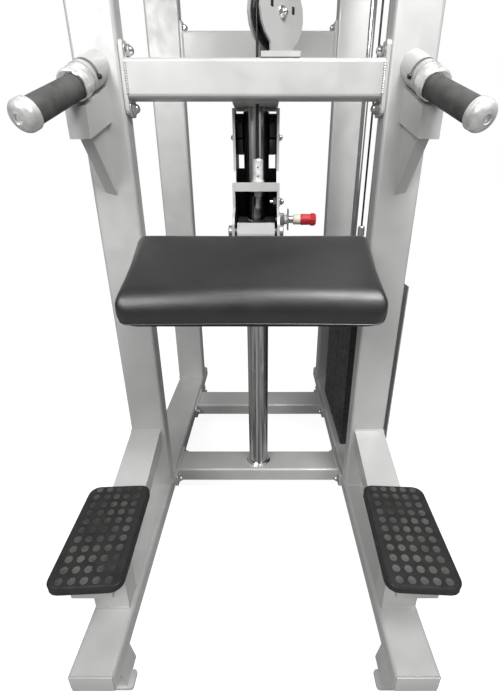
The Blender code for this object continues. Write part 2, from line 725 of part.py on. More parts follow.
def centre_pulley_bracket(centre):
    top = UPPER_CROSS_Z[1] + GAP
    base = box("centre_pulley_bracket", (0.0125, FACE_Y + 0.002, top), (0.094, FACE_Y + 0.148, top + 0.010))
    union(base, *cheeks("centre", centre, 0.068, 0.036, top + 0.004 - centre.z))


def stack_pulley_bracket(centre):
    top = SIDE_BEAM_Z[0] - GAP
    base = box("stack_pulley_bracket", (centre.x - 0.030, centre.y - 0.045, top - 0.008),
               (centre.x + 0.040, centre.y + 0.045, top))
    union(base, *cheeks("stack", centre, 0.045, 0.028, top - 0.004 - centre.z))


def middle_cable_route(centre, stack):
    """Over the centre pulley, up the slope and over the stack pulley."""
    d = pulley_direction()
    up = Vector((0, 0, 1))
    run = (stack - centre).dot(d)
    slope = math.atan2(stack.z - centre.z, run)
    r = PULLEY_PITCH_RADIUS
    leave = math.pi / 2 + slope
    points = []
    steps = 5
    for i in range(steps + 1):
        a = math.pi + (leave - math.pi) * i / steps
        points.append(centre + d * r * math.cos(a) + up * r * math.sin(a))
    steps = 12
    for i in range(steps + 1):
        a = leave * (1 - i / steps)
        points.append(stack + d * r * math.cos(a) + up * r * math.sin(a))
    return points


def cables(centre, stack):
    pipe("carriage_cable", [(CABLE_X, CABLE_Y, STUD_TOP + GAP), (CABLE_X, CABLE_Y, centre.z - GAP)],
         CABLE_RADIUS, "cable_sheath", 2)
    pipe("middle_cable", middle_cable_route(centre, stack), CABLE_RADIUS, "cable_sheath", 2)
    pipe("stack_cable", [(STACK_X, STACK_Y, STEM_TOP + 0.031 + GAP), (STACK_X, STACK_Y, stack.z - GAP)],
         CABLE_RADIUS, "cable_sheath", 2)


def plate_pile(name, bottom, count, height=PLATE_PITCH, first_cut=None):
    """A pile of weight plates, with a narrow groove between each two."""
    width, length = PLATE_SIZE
    groove, notch = 0.0012, 0.003
    rings = []
    bm = bmesh.new()
    for i in range(count):
        z = bottom + i * height
        levels = [(0, z), (0, z + height - groove)]
        if i < count - 1:
            levels += [(notch, z + height - groove), (notch, z + height)]
        for inset, level in levels:
            outline = [(sx * (width / 2 - inset), sy * (length / 2 - inset))
                       for sx, sy in ((1, 1), (-1, 1), (-1, -1), (1, -1))]
            rings.append([bm.verts.new((x, y, level)) for x, y in outline])
    bm.faces.new(reversed(rings[0]))
    bm.faces.new(rings[-1])
    for a, b in zip(rings, rings[1:]):
        for i in range(4):
            j = (i + 1) % 4
            bm.faces.new((a[i], a[j], b[j], b[i]))
    pile = add(name, bm, "stack_paint", Matrix.Translation((STACK_X, STACK_Y, 0)))
    if first_cut:
        cut(pile, first_cut)
    top = bottom + count * height
    for word, offset, radius in (("front", -ROD_OFFSET_Y, ROD_RADIUS), ("rear", ROD_OFFSET_Y, ROD_RADIUS),
                                 ("stem", 0.0, STEM_RADIUS)):
        x, y = STACK_X, STACK_Y + offset
        hole = rod(f"{name}_{word}_hole", (x, y, bottom - 0.01), (x, y, top + 0.01), radius + 0.001,
                   "zinc", 16)
        cut(pile, hole)
    return pile


def selector_height():
    """Height of the pin's hole: the middle of the lowest lifted plate."""
    resting_top = STACK_BOTTOM + RESTING_PLATES * PLATE_PITCH
    return resting_top + PLATE_PITCH / 2


def weight_stack():
    plate_pile("resting_plates", STACK_BOTTOM, RESTING_PLATES)
    lifted_bottom = STACK_BOTTOM + RESTING_PLATES * PLATE_PITCH
    pin_z = selector_height()
    slot = rod("selector_slot", (STACK_X - 0.06, STACK_Y, pin_z), (STACK_X, STACK_Y, pin_z), 0.0058, "zinc", 14)
    plate_pile("lifted_plates", lifted_bottom, LIFTED_PLATES, first_cut=slot)
    top_bottom = lifted_bottom + LIFTED_PLATES * PLATE_PITCH + GAP
    plate_pile("top_plate", top_bottom, 1, TOP_PLATE_HEIGHT)
    stem_profile = [(0, STACK_BOTTOM + 0.02), (STEM_RADIUS, STACK_BOTTOM + 0.02),
                    (STEM_RADIUS, top_bottom + TOP_PLATE_HEIGHT + GAP),
                    (0.019, top_bottom + TOP_PLATE_HEIGHT + GAP), (0.019, top_bottom + TOP_PLATE_HEIGHT + 0.014),
                    (0.0090, top_bottom + TOP_PLATE_HEIGHT + 0.014), (0.0090, STEM_TOP), (0.0115, STEM_TOP),
                    (0.0115, STEM_TOP + 0.026), (0.0085, STEM_TOP + 0.031), (0, STEM_TOP + 0.031)]
    stem = add("selector_stem", turned(stem_profile, 20), "zinc", Matrix.Translation((STACK_X, STACK_Y, 0)),
               smooth=True)
    socket = rod("stem_socket", (STACK_X - 0.03, STACK_Y, pin_z), (STACK_X + 0.03, STACK_Y, pin_z), 0.0052,
                 "zinc", 12)
    cut(stem, socket)
    selector_pin(pin_z)


def selector_pin(z):
    """Pushed in from the user's side, through the plate and the stem."""
    start = STACK_X + 0.008
    face = STACK_X - PLATE_SIZE[0] / 2
    length = start - face
    profile = [(0, 0), (0.0030, 0), (0.0045, 0.003), (0.0045, length + 0.001), (0.0110, length + 0.001),
               (0.0130, length + 0.004), (0.0130, length + 0.026), (0.0100, length + 0.031),
               (0, length + 0.031)]
    turn = Matrix.Translation((start, STACK_Y, z)) @ Matrix.Rotation(-math.pi / 2, 4, "Y")
    add("selector_pin", turned(profile, 16), "black_plastic", turn, smooth=True)


def stack_shroud():
    """A thin guard along the stack's outer side."""
    box("stack_shroud", SHROUD_LOW, SHROUD_HIGH)


def guide_rods():
    for word, offset in (("front", -ROD_OFFSET_Y), ("rear", ROD_OFFSET_Y)):
        y = STACK_Y + offset
        rod(f"{word}_guide_rod", (STACK_X, y, RAIL_TOP + GAP), (STACK_X, y, SIDE_BEAM_Z[0] - GAP), ROD_RADIUS,
            "chrome", 20)


# ---- dip handles ----------------------------------------------------------------------------------------
def handle_axes(side):
    """Z along the collar's axis, away from the upright; X towards the middle of the machine."""
    start = mirrored(COLLAR_START, side)
    axis = mirrored(COLLAR_AXIS, side)
    return frame_to(start, start + axis, (-side, 0, 0))


def dip_bracket(word, side):
    """A stub off the upright, with a gusset below it and a slotted collar along its top."""
    place = handle_axes(side)
    turn = Matrix.Translation((side * 0.335, FACE_Y - GAP, 0)) @ Matrix.Rotation(side * math.radians(9), 4, "Z")
    swap = Matrix(((0, 0, 1, 0), (1, 0, 0, 0), (0, 1, 0, 0), (0, 0, 0, 1)))
    stub_outline = ((0.012, 1.196), (-0.092, 1.141), (-0.092, 1.085), (0.012, 1.129))
    place_plate = turn @ swap
    stub = add(f"{word}_dip_bracket", extrude_outline(stub_outline, -0.0225, 0.0225), "frame_paint", place_plate)
    gusset_outline = ((0.012, 1.140), (-0.070, 1.104), (-0.070, 1.086), (0.012, 0.962))
    gusset = add(f"{word}_dip_gusset", extrude_outline(gusset_outline, -0.0130, 0.0130), "frame_paint", place_plate)
    trim = box(f"{word}_bracket_trim", (side * 0.335 - 0.1, FACE_Y - GAP, 0.9),
               (side * 0.335 + 0.1, FACE_Y + 0.08, 1.35))
    bore = COLLAR_BORE + 0.0004
    beyond = COLLAR_LENGTH - 0.005
    collar = add(f"{word}_collar", turned([(0, -0.02), (COLLAR_RADIUS, -0.02), (COLLAR_RADIUS, COLLAR_LENGTH),
                                           (0, COLLAR_LENGTH)], 32), "frame_paint", place)
    hollow = add(f"{word}_collar_bore", turned([(0, -0.05), (bore, -0.05), (bore, 0.15), (0, 0.15)], 32),
                 "frame_paint", place)
    room = add(f"{word}_hub_room", turned([(0, beyond), (0.0305, beyond), (0.0305, 0.15), (0, 0.15)], 28),
               "frame_paint", place)
    union(stub, gusset)
    cut(stub, room)
    union(stub, collar)
    cut(stub, trim, slot_cutter(word, place, side), hollow)


def slot_cutter(word, place, side):
    """A band out of the collar's upper half, for the stop pin to travel in."""
    inner, outer = COLLAR_BORE - 0.003, COLLAR_RADIUS + 0.006
    low, high = STOP_PIN_AT - 0.0052, STOP_PIN_AT + 0.0052
    first, sweep, steps = math.radians(-10), math.radians(200), 20
    bm = bmesh.new()
    rings = []
    for i in range(steps + 1):
        a = -side * (first + sweep * i / steps)
        ring = [(r * math.cos(a), r * math.sin(a), z) for r, z in ((inner, low), (outer, low), (outer, high),
                                                                  (inner, high))]
        rings.append([bm.verts.new(point) for point in ring])
    bm.faces.new(rings[0])
    bm.faces.new(rings[-1])
    for a, b in zip(rings, rings[1:]):
        for i in range(4):
            j = (i + 1) % 4
            bm.faces.new((a[i], a[j], b[j], b[i]))
    return add(f"{word}_slot", bm, "frame_paint", place)


def dip_handle(word, side):
    """A shaft in the collar, a hub outside it, and the grip's bar with its sleeve and end cap."""
    place = handle_axes(side)
    hub_start = COLLAR_LENGTH + 0.0006
    edge = 0.003
    profile = [(0, SHAFT_START), (COLLAR_BORE, SHAFT_START), (COLLAR_BORE, hub_start), (HUB_RADIUS, hub_start),
               (HUB_RADIUS, HUB_END - edge), (HUB_RADIUS - edge, HUB_END), (0, HUB_END)]
    hub = add(f"{word}_dip_hub", turned(profile, 32), "chrome", place, smooth=True)
    grip = mirrored(GRIP_AXIS, side)
    root = place @ Vector((GRIP_ROOT_OFFSET, 0, GRIP_ROOT_AT))
    tip = GRIP_START + GRIP_LENGTH
    bar = rod(f"{word}_handle_rod", root - grip * 0.010, root + grip * tip, HANDLE_ROD_RADIUS, "chrome", 20)
    neck_end = root + grip * (GRIP_START - 0.0005)
    neck = rod(f"{word}_handle_neck", root, neck_end, GRIP_RADIUS + 0.001, "chrome", 24)
    pin_foot = place @ Vector((0.018, 0, STOP_PIN_AT))
    pin_top = place @ Vector((0.0325, 0, STOP_PIN_AT))
    stop = rod(f"{word}_stop_pin", pin_foot, pin_top, 0.0042, "black_plastic", 12)
    union(hub, bar, neck, stop)
    sleeve(f"{word}_dip_grip", root + grip * GRIP_START, root + grip * (tip - 0.0005),
           HANDLE_ROD_RADIUS + GAP + 0.0004, GRIP_RADIUS)
    cap_profile = [(0, 0), (0.0255, 0), (0.0272, 0.002), (0.0272, 0.012), (0.0255, 0.019), (0.0200, 0.0255),
                   (0.0100, 0.0295), (0.0075, 0.0295), (0.0060, 0.0260), (0, 0.0260)]
    start = root + grip * (tip + GAP)
    cap_place = frame_to(start, start + grip, (0, 0, 1))
    add(f"{word}_dip_cap", turned(cap_profile, 28), "chrome", cap_place, smooth=True)


def dip_handles():
    for word, side in SIDES:
        dip_bracket(word, side)
        dip_handle(word, side)


def main():
    clear_scene()
    base_rails()
    feet()
    uprights()
    cross_members()
    side_beams()
    step_supports()
    foot_plates()
    chin_bars()
    guide_post()
    carriage_frame()
    cable_stud()
    rollers()
    knee_pad()
    pad_arm()
    hang_pad()
    hinge_bolt()
    pull_pin()
    centre, stack = pulley_centres()
    pulley("centre_pulley", centre)
    pulley("stack_pulley", stack)
    centre_pulley_bracket(centre)
    stack_pulley_bracket(stack)
    cables(centre, stack)
    guide_rods()
    stack_shroud()
    weight_stack()
    dip_handles()


main()
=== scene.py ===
"""Looks for the weight-assisted chin and dip machine: materials, upholstery, treads, bolts, welds and cable.

Metres, +Z up; the user faces +Y. The CAD nodes and joints stay where they are. Detail is added over them,
and the knee pad, the dip handles' grips and caps and the two cable runs are drawn in their CAD nodes' place.
"""
import json
import math

import bmesh
import bpy
from mathutils import Matrix, Vector


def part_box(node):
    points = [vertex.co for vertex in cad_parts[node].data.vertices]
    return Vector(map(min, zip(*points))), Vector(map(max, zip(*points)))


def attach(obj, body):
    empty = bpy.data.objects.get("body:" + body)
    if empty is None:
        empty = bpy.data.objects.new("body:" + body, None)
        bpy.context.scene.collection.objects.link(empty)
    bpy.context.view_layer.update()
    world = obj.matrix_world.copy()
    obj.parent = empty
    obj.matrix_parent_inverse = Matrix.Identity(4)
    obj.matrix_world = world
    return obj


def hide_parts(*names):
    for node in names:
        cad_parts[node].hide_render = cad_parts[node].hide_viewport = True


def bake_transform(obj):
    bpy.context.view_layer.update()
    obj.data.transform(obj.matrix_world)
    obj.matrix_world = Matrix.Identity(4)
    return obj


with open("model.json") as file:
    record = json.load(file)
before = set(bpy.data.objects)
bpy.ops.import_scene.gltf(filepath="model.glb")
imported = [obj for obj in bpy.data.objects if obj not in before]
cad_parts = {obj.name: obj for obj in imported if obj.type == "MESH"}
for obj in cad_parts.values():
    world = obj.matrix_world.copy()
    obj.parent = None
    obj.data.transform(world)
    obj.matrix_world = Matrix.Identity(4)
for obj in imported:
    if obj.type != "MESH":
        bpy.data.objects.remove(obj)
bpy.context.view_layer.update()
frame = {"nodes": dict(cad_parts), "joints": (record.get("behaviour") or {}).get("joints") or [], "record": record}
NODES = frame["nodes"]
JOINTS = {joint["name"]: joint for joint in frame["joints"]}
SIDES = (("left", -1), ("right", 1))

# ---- places taken from the CAD -------------------------------------------------------------------
FACE_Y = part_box("left_front_upright")[0][1]
UPRIGHT_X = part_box("right_front_upright")[0][0]          # inner face of the uprights
EAR = 0.0083                                             # an end plate and its gap, off that face
POST_LOW, POST_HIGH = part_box("guide_post")
POST_X, POST_Y = (POST_LOW[0] + POST_HIGH[0]) / 2, (POST_LOW[1] + POST_HIGH[1]) / 2
POST_RADIUS = (POST_HIGH[0] - POST_LOW[0]) / 2
HANDLE_FOOT = Vector(JOINTS["right_handle_turn"]["pos_m"])
HANDLE_AXIS = -Vector(JOINTS["right_handle_turn"]["axis"])
PAD_HINGE = Vector(JOINTS["pad_fold"]["pos_m"])

# ---- sizes of the added detail -------------------------------------------------------------------
PAD_SIZE = (0.528, 0.250, 0.054)          # cushion only, without its board
PAD_CENTRE = PAD_HINGE + Vector((-0.005, -0.152, -0.0735))
PAD_TILT = math.radians(24)
PAD_BOARD = 0.012
PAD_FRONT_ROLL = 0.053
PAD_EDGE_ROLL = 0.021
PAD_CORNER = 0.027
PAD_CROWN = 0.004
PAD_TUCK = 0.0085                         # how far the cover pulls in above its board

TREAD_COLUMNS, TREAD_ROWS = 5, 11
TREAD_PITCH = (0.0242, 0.0246)
TREAD_STUD = (0.0080, 0.0016)             # radius and height
TREAD_TOE_IN = math.radians(3)

GRIP_ROOT_AT, GRIP_ROOT_OFFSET = 0.085, 0.013
GRIP_AXIS = Vector((0.31, -0.84, -0.44)).normalized()
GRIP_START, GRIP_LENGTH, GRIP_RADIUS = 0.0225, 0.128, 0.0236
STOP_PIN_AT, SLOT_HALF = 0.043, 0.0047    # along the collar: the pin's height and half the slot's width
COLLAR_BORE = 0.024

CABLE_RADIUS = 0.0032
CHIN_BAR_RADIUS, CHIN_GRIP_RADIUS, CHIN_GRIP_LENGTH = 0.016, 0.020, 0.120
STUD_RADIUS, SHELF_LOW = 0.0099, 0.985    # the cable stud's rod, and the underside of its shelf
WELD_RADIUS = 0.0026
WELD_SIDES, WELD_RIPPLE = 8, 0.20

STEP_ARM_X = (0.2915, 0.3775)             # inner and outer edge of a step arm where it meets its upright
STEP_ARM_TOP, STEP_ARM_HEIGHT = 0.3222, 0.054
PEDESTAL_X = (0.289, 0.366)
PEDESTAL_Y = (FACE_Y - 0.392, FACE_Y - 0.342)
TREAD_LIP = (0.0730, 0.1365, 0.0230)      # half width, half depth and corner radius of a tread's rim

UPPER_FRONT_BOLT_Y, UPPER_FRONT_DEPTH = 0.025, 0.050   # both measured back from the cross's front

AXLE_BOLT_SEAT, CHEEK_FACE = 0.0212, 0.0209    # off a pulley's centre, along its axle
PLATE_OUTSIDE, PLATE_INSIDE = 0.0561, 0.0498   # X where bolts seat on the carriage's side plates
STOP_BOLT = (FACE_Y + 0.034, 0.962)            # Y and Z
STUD_HOLE_SHADE_Z = (1.018, 1.038)
SLIDE_PADS_Z = (1.122, 1.086)
CARRIAGE_INNER_X = 0.0502                      # the side plates' inner faces are nearer the middle than this
PLATE_PITCH = 0.0254                           # one weight plate and its groove
PAD_SCREW_X, PAD_SCREW_Y = (-0.20, -0.075, 0.075, 0.20), (-0.085, 0.085)

# ---- camera --------------------------------------------------------------------------------------
CAMERA_PLACE = (0.019, FACE_Y - 0.977, 1.010)
CAMERA_DOWN = math.radians(23.55)
CAMERA_LENS = 20.06
CAMERA_SHIFT_X = -0.02

SURROUND_LOW, SURROUND_HIGH = 0.10, 0.42   # light from below and from straight above
FLOOR_GLOW = 0.90


# ---- node materials ------------------------------------------------------------------------------
class Surface:
    """A Principled material whose colour, roughness and bump are built from a few noises."""

    def __init__(self, name, colour, roughness, metallic=0.0, **sockets):
        self.made = bpy.data.materials.new(name)
        self.made.use_nodes = True
        self.tree = self.made.node_tree
        self.shader = self.tree.nodes["Principled BSDF"]
        self.shader.inputs["Base Color"].default_value = (*colour, 1)
        self.shader.inputs["Roughness"].default_value = roughness
        self.shader.inputs["Metallic"].default_value = metallic
        for socket, value in sockets.items():
            self.shader.inputs[socket.replace("_", " ")].default_value = value
        self.colour = colour
        self.place = self.tree.nodes.new("ShaderNodeTexCoord").outputs["Object"]
        self.last_bump = None

    def stretched(self, stretch):
        mapping = self.tree.nodes.new("ShaderNodeMapping")
        mapping.inputs["Scale"].default_value = stretch
        self.tree.links.new(self.place, mapping.inputs["Vector"])
        return mapping.outputs["Vector"]

    def noise(self, scale, detail=3.0, stretch=None):
        node = self.tree.nodes.new("ShaderNodeTexNoise")
        node.inputs["Scale"].default_value = scale
        node.inputs["Detail"].default_value = detail
        self.tree.links.new(self.stretched(stretch) if stretch else self.place, node.inputs["Vector"])
        return node.outputs["Fac"]

    def cells(self, scale):
        node = self.tree.nodes.new("ShaderNodeTexVoronoi")
        node.feature = "DISTANCE_TO_EDGE"
        node.inputs["Scale"].default_value = scale
        self.tree.links.new(self.place, node.inputs["Vector"])
        return node.outputs["Distance"]

    def spread(self, source, low, high, from_low=0.35, from_high=0.65):
        node = self.tree.nodes.new("ShaderNodeMapRange")
        ends = {"From Min": from_low, "From Max": from_high, "To Min": low, "To Max": high}
        for socket, value in ends.items():
            node.inputs[socket].default_value = value
        self.tree.links.new(source, node.inputs["Value"])
        return node.outputs["Result"]

    def vary_colour(self, source, dark, light):
        """Multiplies the base colour by dark to light as the source goes from low to high."""
        ramp = self.tree.nodes.new("ShaderNodeValToRGB")
        ends = ramp.color_ramp.elements
        ends[0].position, ends[1].position = 0.35, 0.65
        ends[0].color = (*[min(1, c * dark) for c in self.colour], 1)
        ends[1].color = (*[min(1, c * light) for c in self.colour], 1)
        self.tree.links.new(source, ramp.inputs["Fac"])
        self.tree.links.new(ramp.outputs["Color"], self.shader.inputs["Base Color"])
        return self

    def vary_roughness(self, source, low, high):
        self.tree.links.new(self.spread(source, low, high), self.shader.inputs["Roughness"])
        return self

    def bump(self, source, distance, strength=1.0):
        node = self.tree.nodes.new("ShaderNodeBump")
        node.inputs["Distance"].default_value = distance
        node.inputs["Strength"].default_value = strength
        self.tree.links.new(source, node.inputs["Height"])
        if self.last_bump:
            self.tree.links.new(self.last_bump, node.inputs["Normal"])
        self.last_bump = node.outputs["Normal"]
        self.tree.links.new(self.last_bump, self.shader.inputs["Normal"])
        return self


def frame_paint():
    """Silver-grey powder coat: fine orange peel, faint cloudiness, thin scuffs along the tubes."""
    made = Surface("frame_paint", (0.555, 0.555, 0.548), 0.42, 0.28, Coat_Weight=0.12, Coat_Roughness=0.25)
    made.vary_colour(made.noise(4.5, 5), 0.91, 1.06)
    made.vary_roughness(made.noise(26, 4), 0.34, 0.50)
    made.bump(made.noise(900, 2), 0.00024, 0.70)
    return made.bump(made.noise(60, 3, (1, 1, 0.12)), 0.00015, 0.25).made


def bright_metal(name, colour, roughness, streak):
    """Plated metal with faint streaks of wear along its length."""
    made = Surface(name, colour, roughness, 1.0)
    made.vary_colour(made.noise(7, 4, (1, 1, streak)), 0.82, 1.04)
    made.vary_roughness(made.noise(30, 4, (1, 1, streak)), roughness * 0.7, roughness * 1.7)
    return made.bump(made.noise(300, 2), 0.00004, 0.35).made


def satin_alloy():
    """Turned and polished alloy: soft, bright, with a fine scuffed surface."""
    made = Surface("satin_alloy", (0.90, 0.90, 0.89), 0.40, 0.60, Specular_IOR_Level=0.6)
    made.vary_colour(made.noise(70, 5), 0.78, 1.08)
    made.vary_roughness(made.noise(160, 4), 0.28, 0.52)
    made.bump(made.noise(220, 4), 0.00008, 0.40)
    return made.bump(made.noise(900, 3), 0.00008, 0.50).made


def post_chrome():
    """Chrome rubbed by the rollers, with long streaks of dull and bright along it: partly wear, partly painted
    reflection of dark surroundings.
    """
    made = Surface("post_chrome", (0.44, 0.44, 0.435), 0.16, 1.0)
    # The dark base colour and its strong vertical streaks are partly painted reflection of dark surroundings,
    # partly roller wear.
    made.vary_colour(made.noise(95, 5, (1, 1, 0.012)), 0.40, 1.60)
    made.vary_roughness(made.noise(60, 4, (1, 1, 0.02)), 0.10, 0.32)
    return made.bump(made.noise(140, 3, (1, 1, 0.01)), 0.00012, 0.5).made


def rubber(name, colour, grain, depth):
    made = Surface(name, colour, 0.72, 0.0, Specular_IOR_Level=0.35)
    made.vary_colour(made.noise(35, 5), 0.80, 1.25)
    made.vary_roughness(made.noise(50, 3), 0.60, 0.84)
    return made.bump(made.noise(grain, 4), depth, 0.8).made


def worn_rubber():
    """Stud tops: scuffed pale where feet land, dark where they don't."""
    made = Surface("stud_rubber", (0.062, 0.062, 0.058), 0.62, 0.0, Specular_IOR_Level=0.40)
    made.vary_colour(made.noise(11, 6), 0.42, 1.70)
    made.vary_roughness(made.noise(50, 3), 0.50, 0.76)
    made.bump(made.noise(900, 4), 0.0003, 0.8)
    return made.bump(made.noise(160, 3), 0.0005, 0.5).made


def leatherette():
    """Black vinyl: a fine pebble grain, softly uneven sheen, a little dust."""
    made = Surface("leatherette", (0.0065, 0.0065, 0.0063), 0.34, 0.0, Specular_IOR_Level=0.70,
                   Coat_Weight=0.45, Coat_Roughness=0.32, Sheen_Weight=0.09, Sheen_Roughness=0.45)
    made.vary_colour(made.noise(9, 6), 0.80, 1.35)
    made.vary_roughness(made.noise(14, 5), 0.31, 0.44)
    made.bump(made.cells(430), 0.00045, 0.85)
    made.bump(made.noise(230, 3), 0.00026, 0.50)
    return made.bump(made.noise(16, 3), 0.0010, 0.22).made


def plain(name, colour, roughness, metallic=0.0, grain=400, **sockets):
    made = Surface(name, colour, roughness, metallic, **sockets)
    made.vary_colour(made.noise(22, 4), 0.86, 1.14)
    made.vary_roughness(made.noise(40, 3), roughness * 0.82, roughness * 1.2)
    return made.bump(made.noise(grain, 3), 0.00010, 0.5).made


MATERIALS = {
    "frame_paint": frame_paint(),
    "chrome": bright_metal("chrome", (0.86, 0.86, 0.855), 0.10, 0.3),
    "post_chrome": post_chrome(),
    "zinc": bright_metal("zinc", (0.60, 0.60, 0.585), 0.30, 1.0),
    "satin_alloy": satin_alloy(),
    "grip_rubber": rubber("grip_rubber", (0.088, 0.087, 0.085), 700, 0.0003),
    "tread_rubber": rubber("tread_rubber", (0.020, 0.020, 0.0195), 420, 0.0004),
    "stud_rubber": worn_rubber(),
    "cream_plastic": plain("cream_plastic", (0.66, 0.60, 0.48), 0.40),
    "upholstery": leatherette(),
    "stack_paint": plain("stack_paint", (0.020, 0.020, 0.020), 0.45, 0.1),
    # black_plastic is also used as painted shade: inside the collar slots, the cheek slots, the stud's holes and
    # the carriage.
    "black_plastic": plain("black_plastic", (0.012, 0.012, 0.012), 0.38),
    "cable_sheath": plain("cable_sheath", (0.010, 0.010, 0.010), 0.30),
    "red_knob": plain("red_knob", (0.500, 0.016, 0.030), 0.30, 0.0, 200,
                      Coat_Weight=0.5, Coat_Roughness=0.12),
}


OWN_FINISH = {"guide_post": "post_chrome", "cable_stud": "satin_alloy",
              "left_dip_hub": "satin_alloy", "right_dip_hub": "satin_alloy"}


def dress_cad():
    """Gives each CAD node its node material and rounds off its shading."""
    slots = {entry["node"]: entry["material_slot"] for entry in frame["record"]["subparts"]}
    for name, item in NODES.items():
        finish = OWN_FINISH.get(name, slots[name])
        item.data.materials.clear()
        item.data.materials.append(MATERIALS[finish])
        for polygon in item.data.polygons:
            polygon.use_smooth = True
            polygon.material_index = 0
        item.data.set_sharp_from_angle(angle=math.radians(32))


# ---- mesh making ---------------------------------------------------------------------------------
def axes_to(start, along, across=(0, 0, 1)):
    """A matrix at start whose Z runs along a direction."""
    z = Vector(along).normalized()
    x = Vector(across) - z * Vector(across).dot(z)
    x = x.normalized() if x.length > 1e-4 else z.orthogonal().normalized()
    turn = Matrix((x, z.cross(x), z)).transposed().to_4x4()
    return Matrix.Translation(Vector(start)) @ turn


class Batch:
    """Gathers many small solids of one material and one body into one mesh."""

    def __init__(self):
        self.bm = bmesh.new()

    def ring(self, place, radius, height, segments):
        """New vertices round a circle, at a height along the place's Z."""
        turns = [2 * math.pi * i / segments for i in range(segments)]
        return [self.bm.verts.new(place @ Vector((radius * math.cos(a), radius * math.sin(a), height)))
                for a in turns]

    def lathe(self, profile, place, segments=24):
        """Turns (radius, height) points about Z; a radius of 0 closes that end."""
        rings = []
        for radius, height in profile:
            if radius < 1e-7:
                rings.append([self.bm.verts.new(place @ Vector((0, 0, height)))])
                continue
            rings.append(self.ring(place, radius, height, segments))
        for low, high in zip(rings, rings[1:]):
            for i in range(segments):
                j = (i + 1) % segments
                corners = [low[i % len(low)], low[j % len(low)], high[j % len(high)], high[i % len(high)]]
                corners = [v for k, v in enumerate(corners) if v is not corners[k - 1]]
                if len(corners) > 2:
                    self.bm.faces.new(corners)
        return self

    def block(self, size, place, bevel=0.0):
        made = bmesh.ops.create_cube(self.bm, size=1.0, matrix=place @ Matrix.Diagonal((*size, 1)))
        if bevel:
            edges = {edge for vert in made["verts"] for edge in vert.link_edges}
            bmesh.ops.bevel(self.bm, geom=list(edges), offset=bevel, segments=2, affect="EDGES", profile=0.6)
        return self

    def tube(self, points, radius, segments=10, ripple=0.0, pitch=0.0045):
        """A round bar through the points; ripple gives it the scales of a weld bead."""
        points = [Vector(p) for p in points]
        rings = []
        travelled = 0.0
        for i, point in enumerate(points):
            before, after = points[max(i - 1, 0)], points[min(i + 1, len(points) - 1)]
            travelled += (point - before).length
            swell = radius * (1 + ripple * math.sin(2 * math.pi * travelled / pitch))
            place = axes_to(point, after - before, (0.31, 0.17, 0.93))
            rings.append(self.ring(place, swell, 0, segments))
        self.bm.faces.new(reversed(rings[0]))
        self.bm.faces.new(rings[-1])
        for low, high in zip(rings, rings[1:]):
            for i in range(segments):
                j = (i + 1) % segments
                self.bm.faces.new((low[i], low[j], high[j], high[i]))
        return self

    def weld(self, start, end):
        """A rippled weld bead from start to end."""
        return self.tube(bead(start, end), WELD_RADIUS, WELD_SIDES, WELD_RIPPLE)

    def make(self, name, finish, body, slot=None):
        """Turns what was gathered into one mesh that rides on a body."""
        bmesh.ops.recalc_face_normals(self.bm, faces=self.bm.faces)
        mesh = bpy.data.meshes.new(name)
        self.bm.to_mesh(mesh)
        self.bm.free()
        for polygon in mesh.polygons:
            polygon.use_smooth = True
        mesh.set_sharp_from_angle(angle=math.radians(38))
        mesh.materials.append(MATERIALS[finish])
        item = bpy.data.objects.new(name, mesh)
        bpy.context.scene.collection.objects.link(item)
        if body:
            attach(item, body)
        return item


def bead(start, end, step=0.0011):
    """Points for a weld bead from start to end."""
    start, end = Vector(start), Vector(end)
    count = max(2, int((end - start).length / step))
    return [start.lerp(end, i / count) for i in range(count + 1)]


def acorn_bolt(batch, place, size):
    """A washer, a hexagon and a domed cap, standing along +Z of the place."""
    washer = size * 1.75
    batch.lathe([(0, 0), (washer, 0), (washer, 0.0012), (washer - 0.0006, 0.0017), (0, 0.0017)], place, 24)
    flats = size * 1.28
    hexagon = [(0, 0.0016), (flats, 0.0016), (flats, size * 0.85), (flats * 0.88, size), (0, size)]
    batch.lathe(hexagon, place, 6)
    dome = [(size * math.cos(a), size * 0.95 + size * 0.9 * math.sin(a))
            for a in (math.pi / 2 * i / 6 for i in range(6))]
    batch.lathe([(0, size * 0.9), (size, size * 0.9)] + dome + [(0, size * 1.85)], place, 20)


# ---- knee pad ------------------------------------------------------------------------------------
def pad_axes():
    return Matrix.Translation(PAD_CENTRE) @ Matrix.Rotation(PAD_TILT, 4, "X")


def roll(distance, radius):
    """How far the cover has dropped at this distance in from an edge of this radius."""
    if distance >= radius:
        return 0.0
    return radius - math.sqrt(max(0.0, radius ** 2 - (radius - distance) ** 2))


def plan_point(u, v):
    """Maps the unit square onto the pad's outline, with round corners and slightly pulled-in sides."""
    half_x, half_y = PAD_SIZE[0] / 2, PAD_SIZE[1] / 2
    x, y = half_x * u, half_y * v
    over_x, over_y = abs(x) - (half_x - PAD_CORNER), abs(y) - (half_y - PAD_CORNER)
    if over_x > 0 and over_y > 0:
        a, b = over_x / PAD_CORNER, over_y / PAD_CORNER
        x = math.copysign(half_x - PAD_CORNER + PAD_CORNER * a * math.sqrt(1 - b * b / 2), x)
        y = math.copysign(half_y - PAD_CORNER + PAD_CORNER * b * math.sqrt(1 - a * a / 2), y)
    x -= math.copysign(0.0045 * u * u * (1 - v * v) ** 2, x)
    y -= math.copysign(0.0030 * v * v * (1 - u * u) ** 2, y)
    return x, y


def pad_top(u, v):
    """The cover's point over a place in the unit square, in the pad's axes."""
    half_x, half_y, high = PAD_SIZE[0] / 2, PAD_SIZE[1] / 2, PAD_SIZE[2] + PAD_BOARD
    front, back = roll((1 + v) * half_y, PAD_FRONT_ROLL), roll((1 - v) * half_y, PAD_EDGE_ROLL)
    side = roll((1 - abs(u)) * half_x, PAD_EDGE_ROLL)
    drop = math.hypot(front, side) + math.hypot(back, side) - side
    crown = PAD_CROWN * (1 - u ** 4) * (1 - v ** 4)
    x, y = plan_point(u, v)
    return Vector((x, y, high / 2 - PAD_CROWN + crown - min(drop, PAD_FRONT_ROLL)))


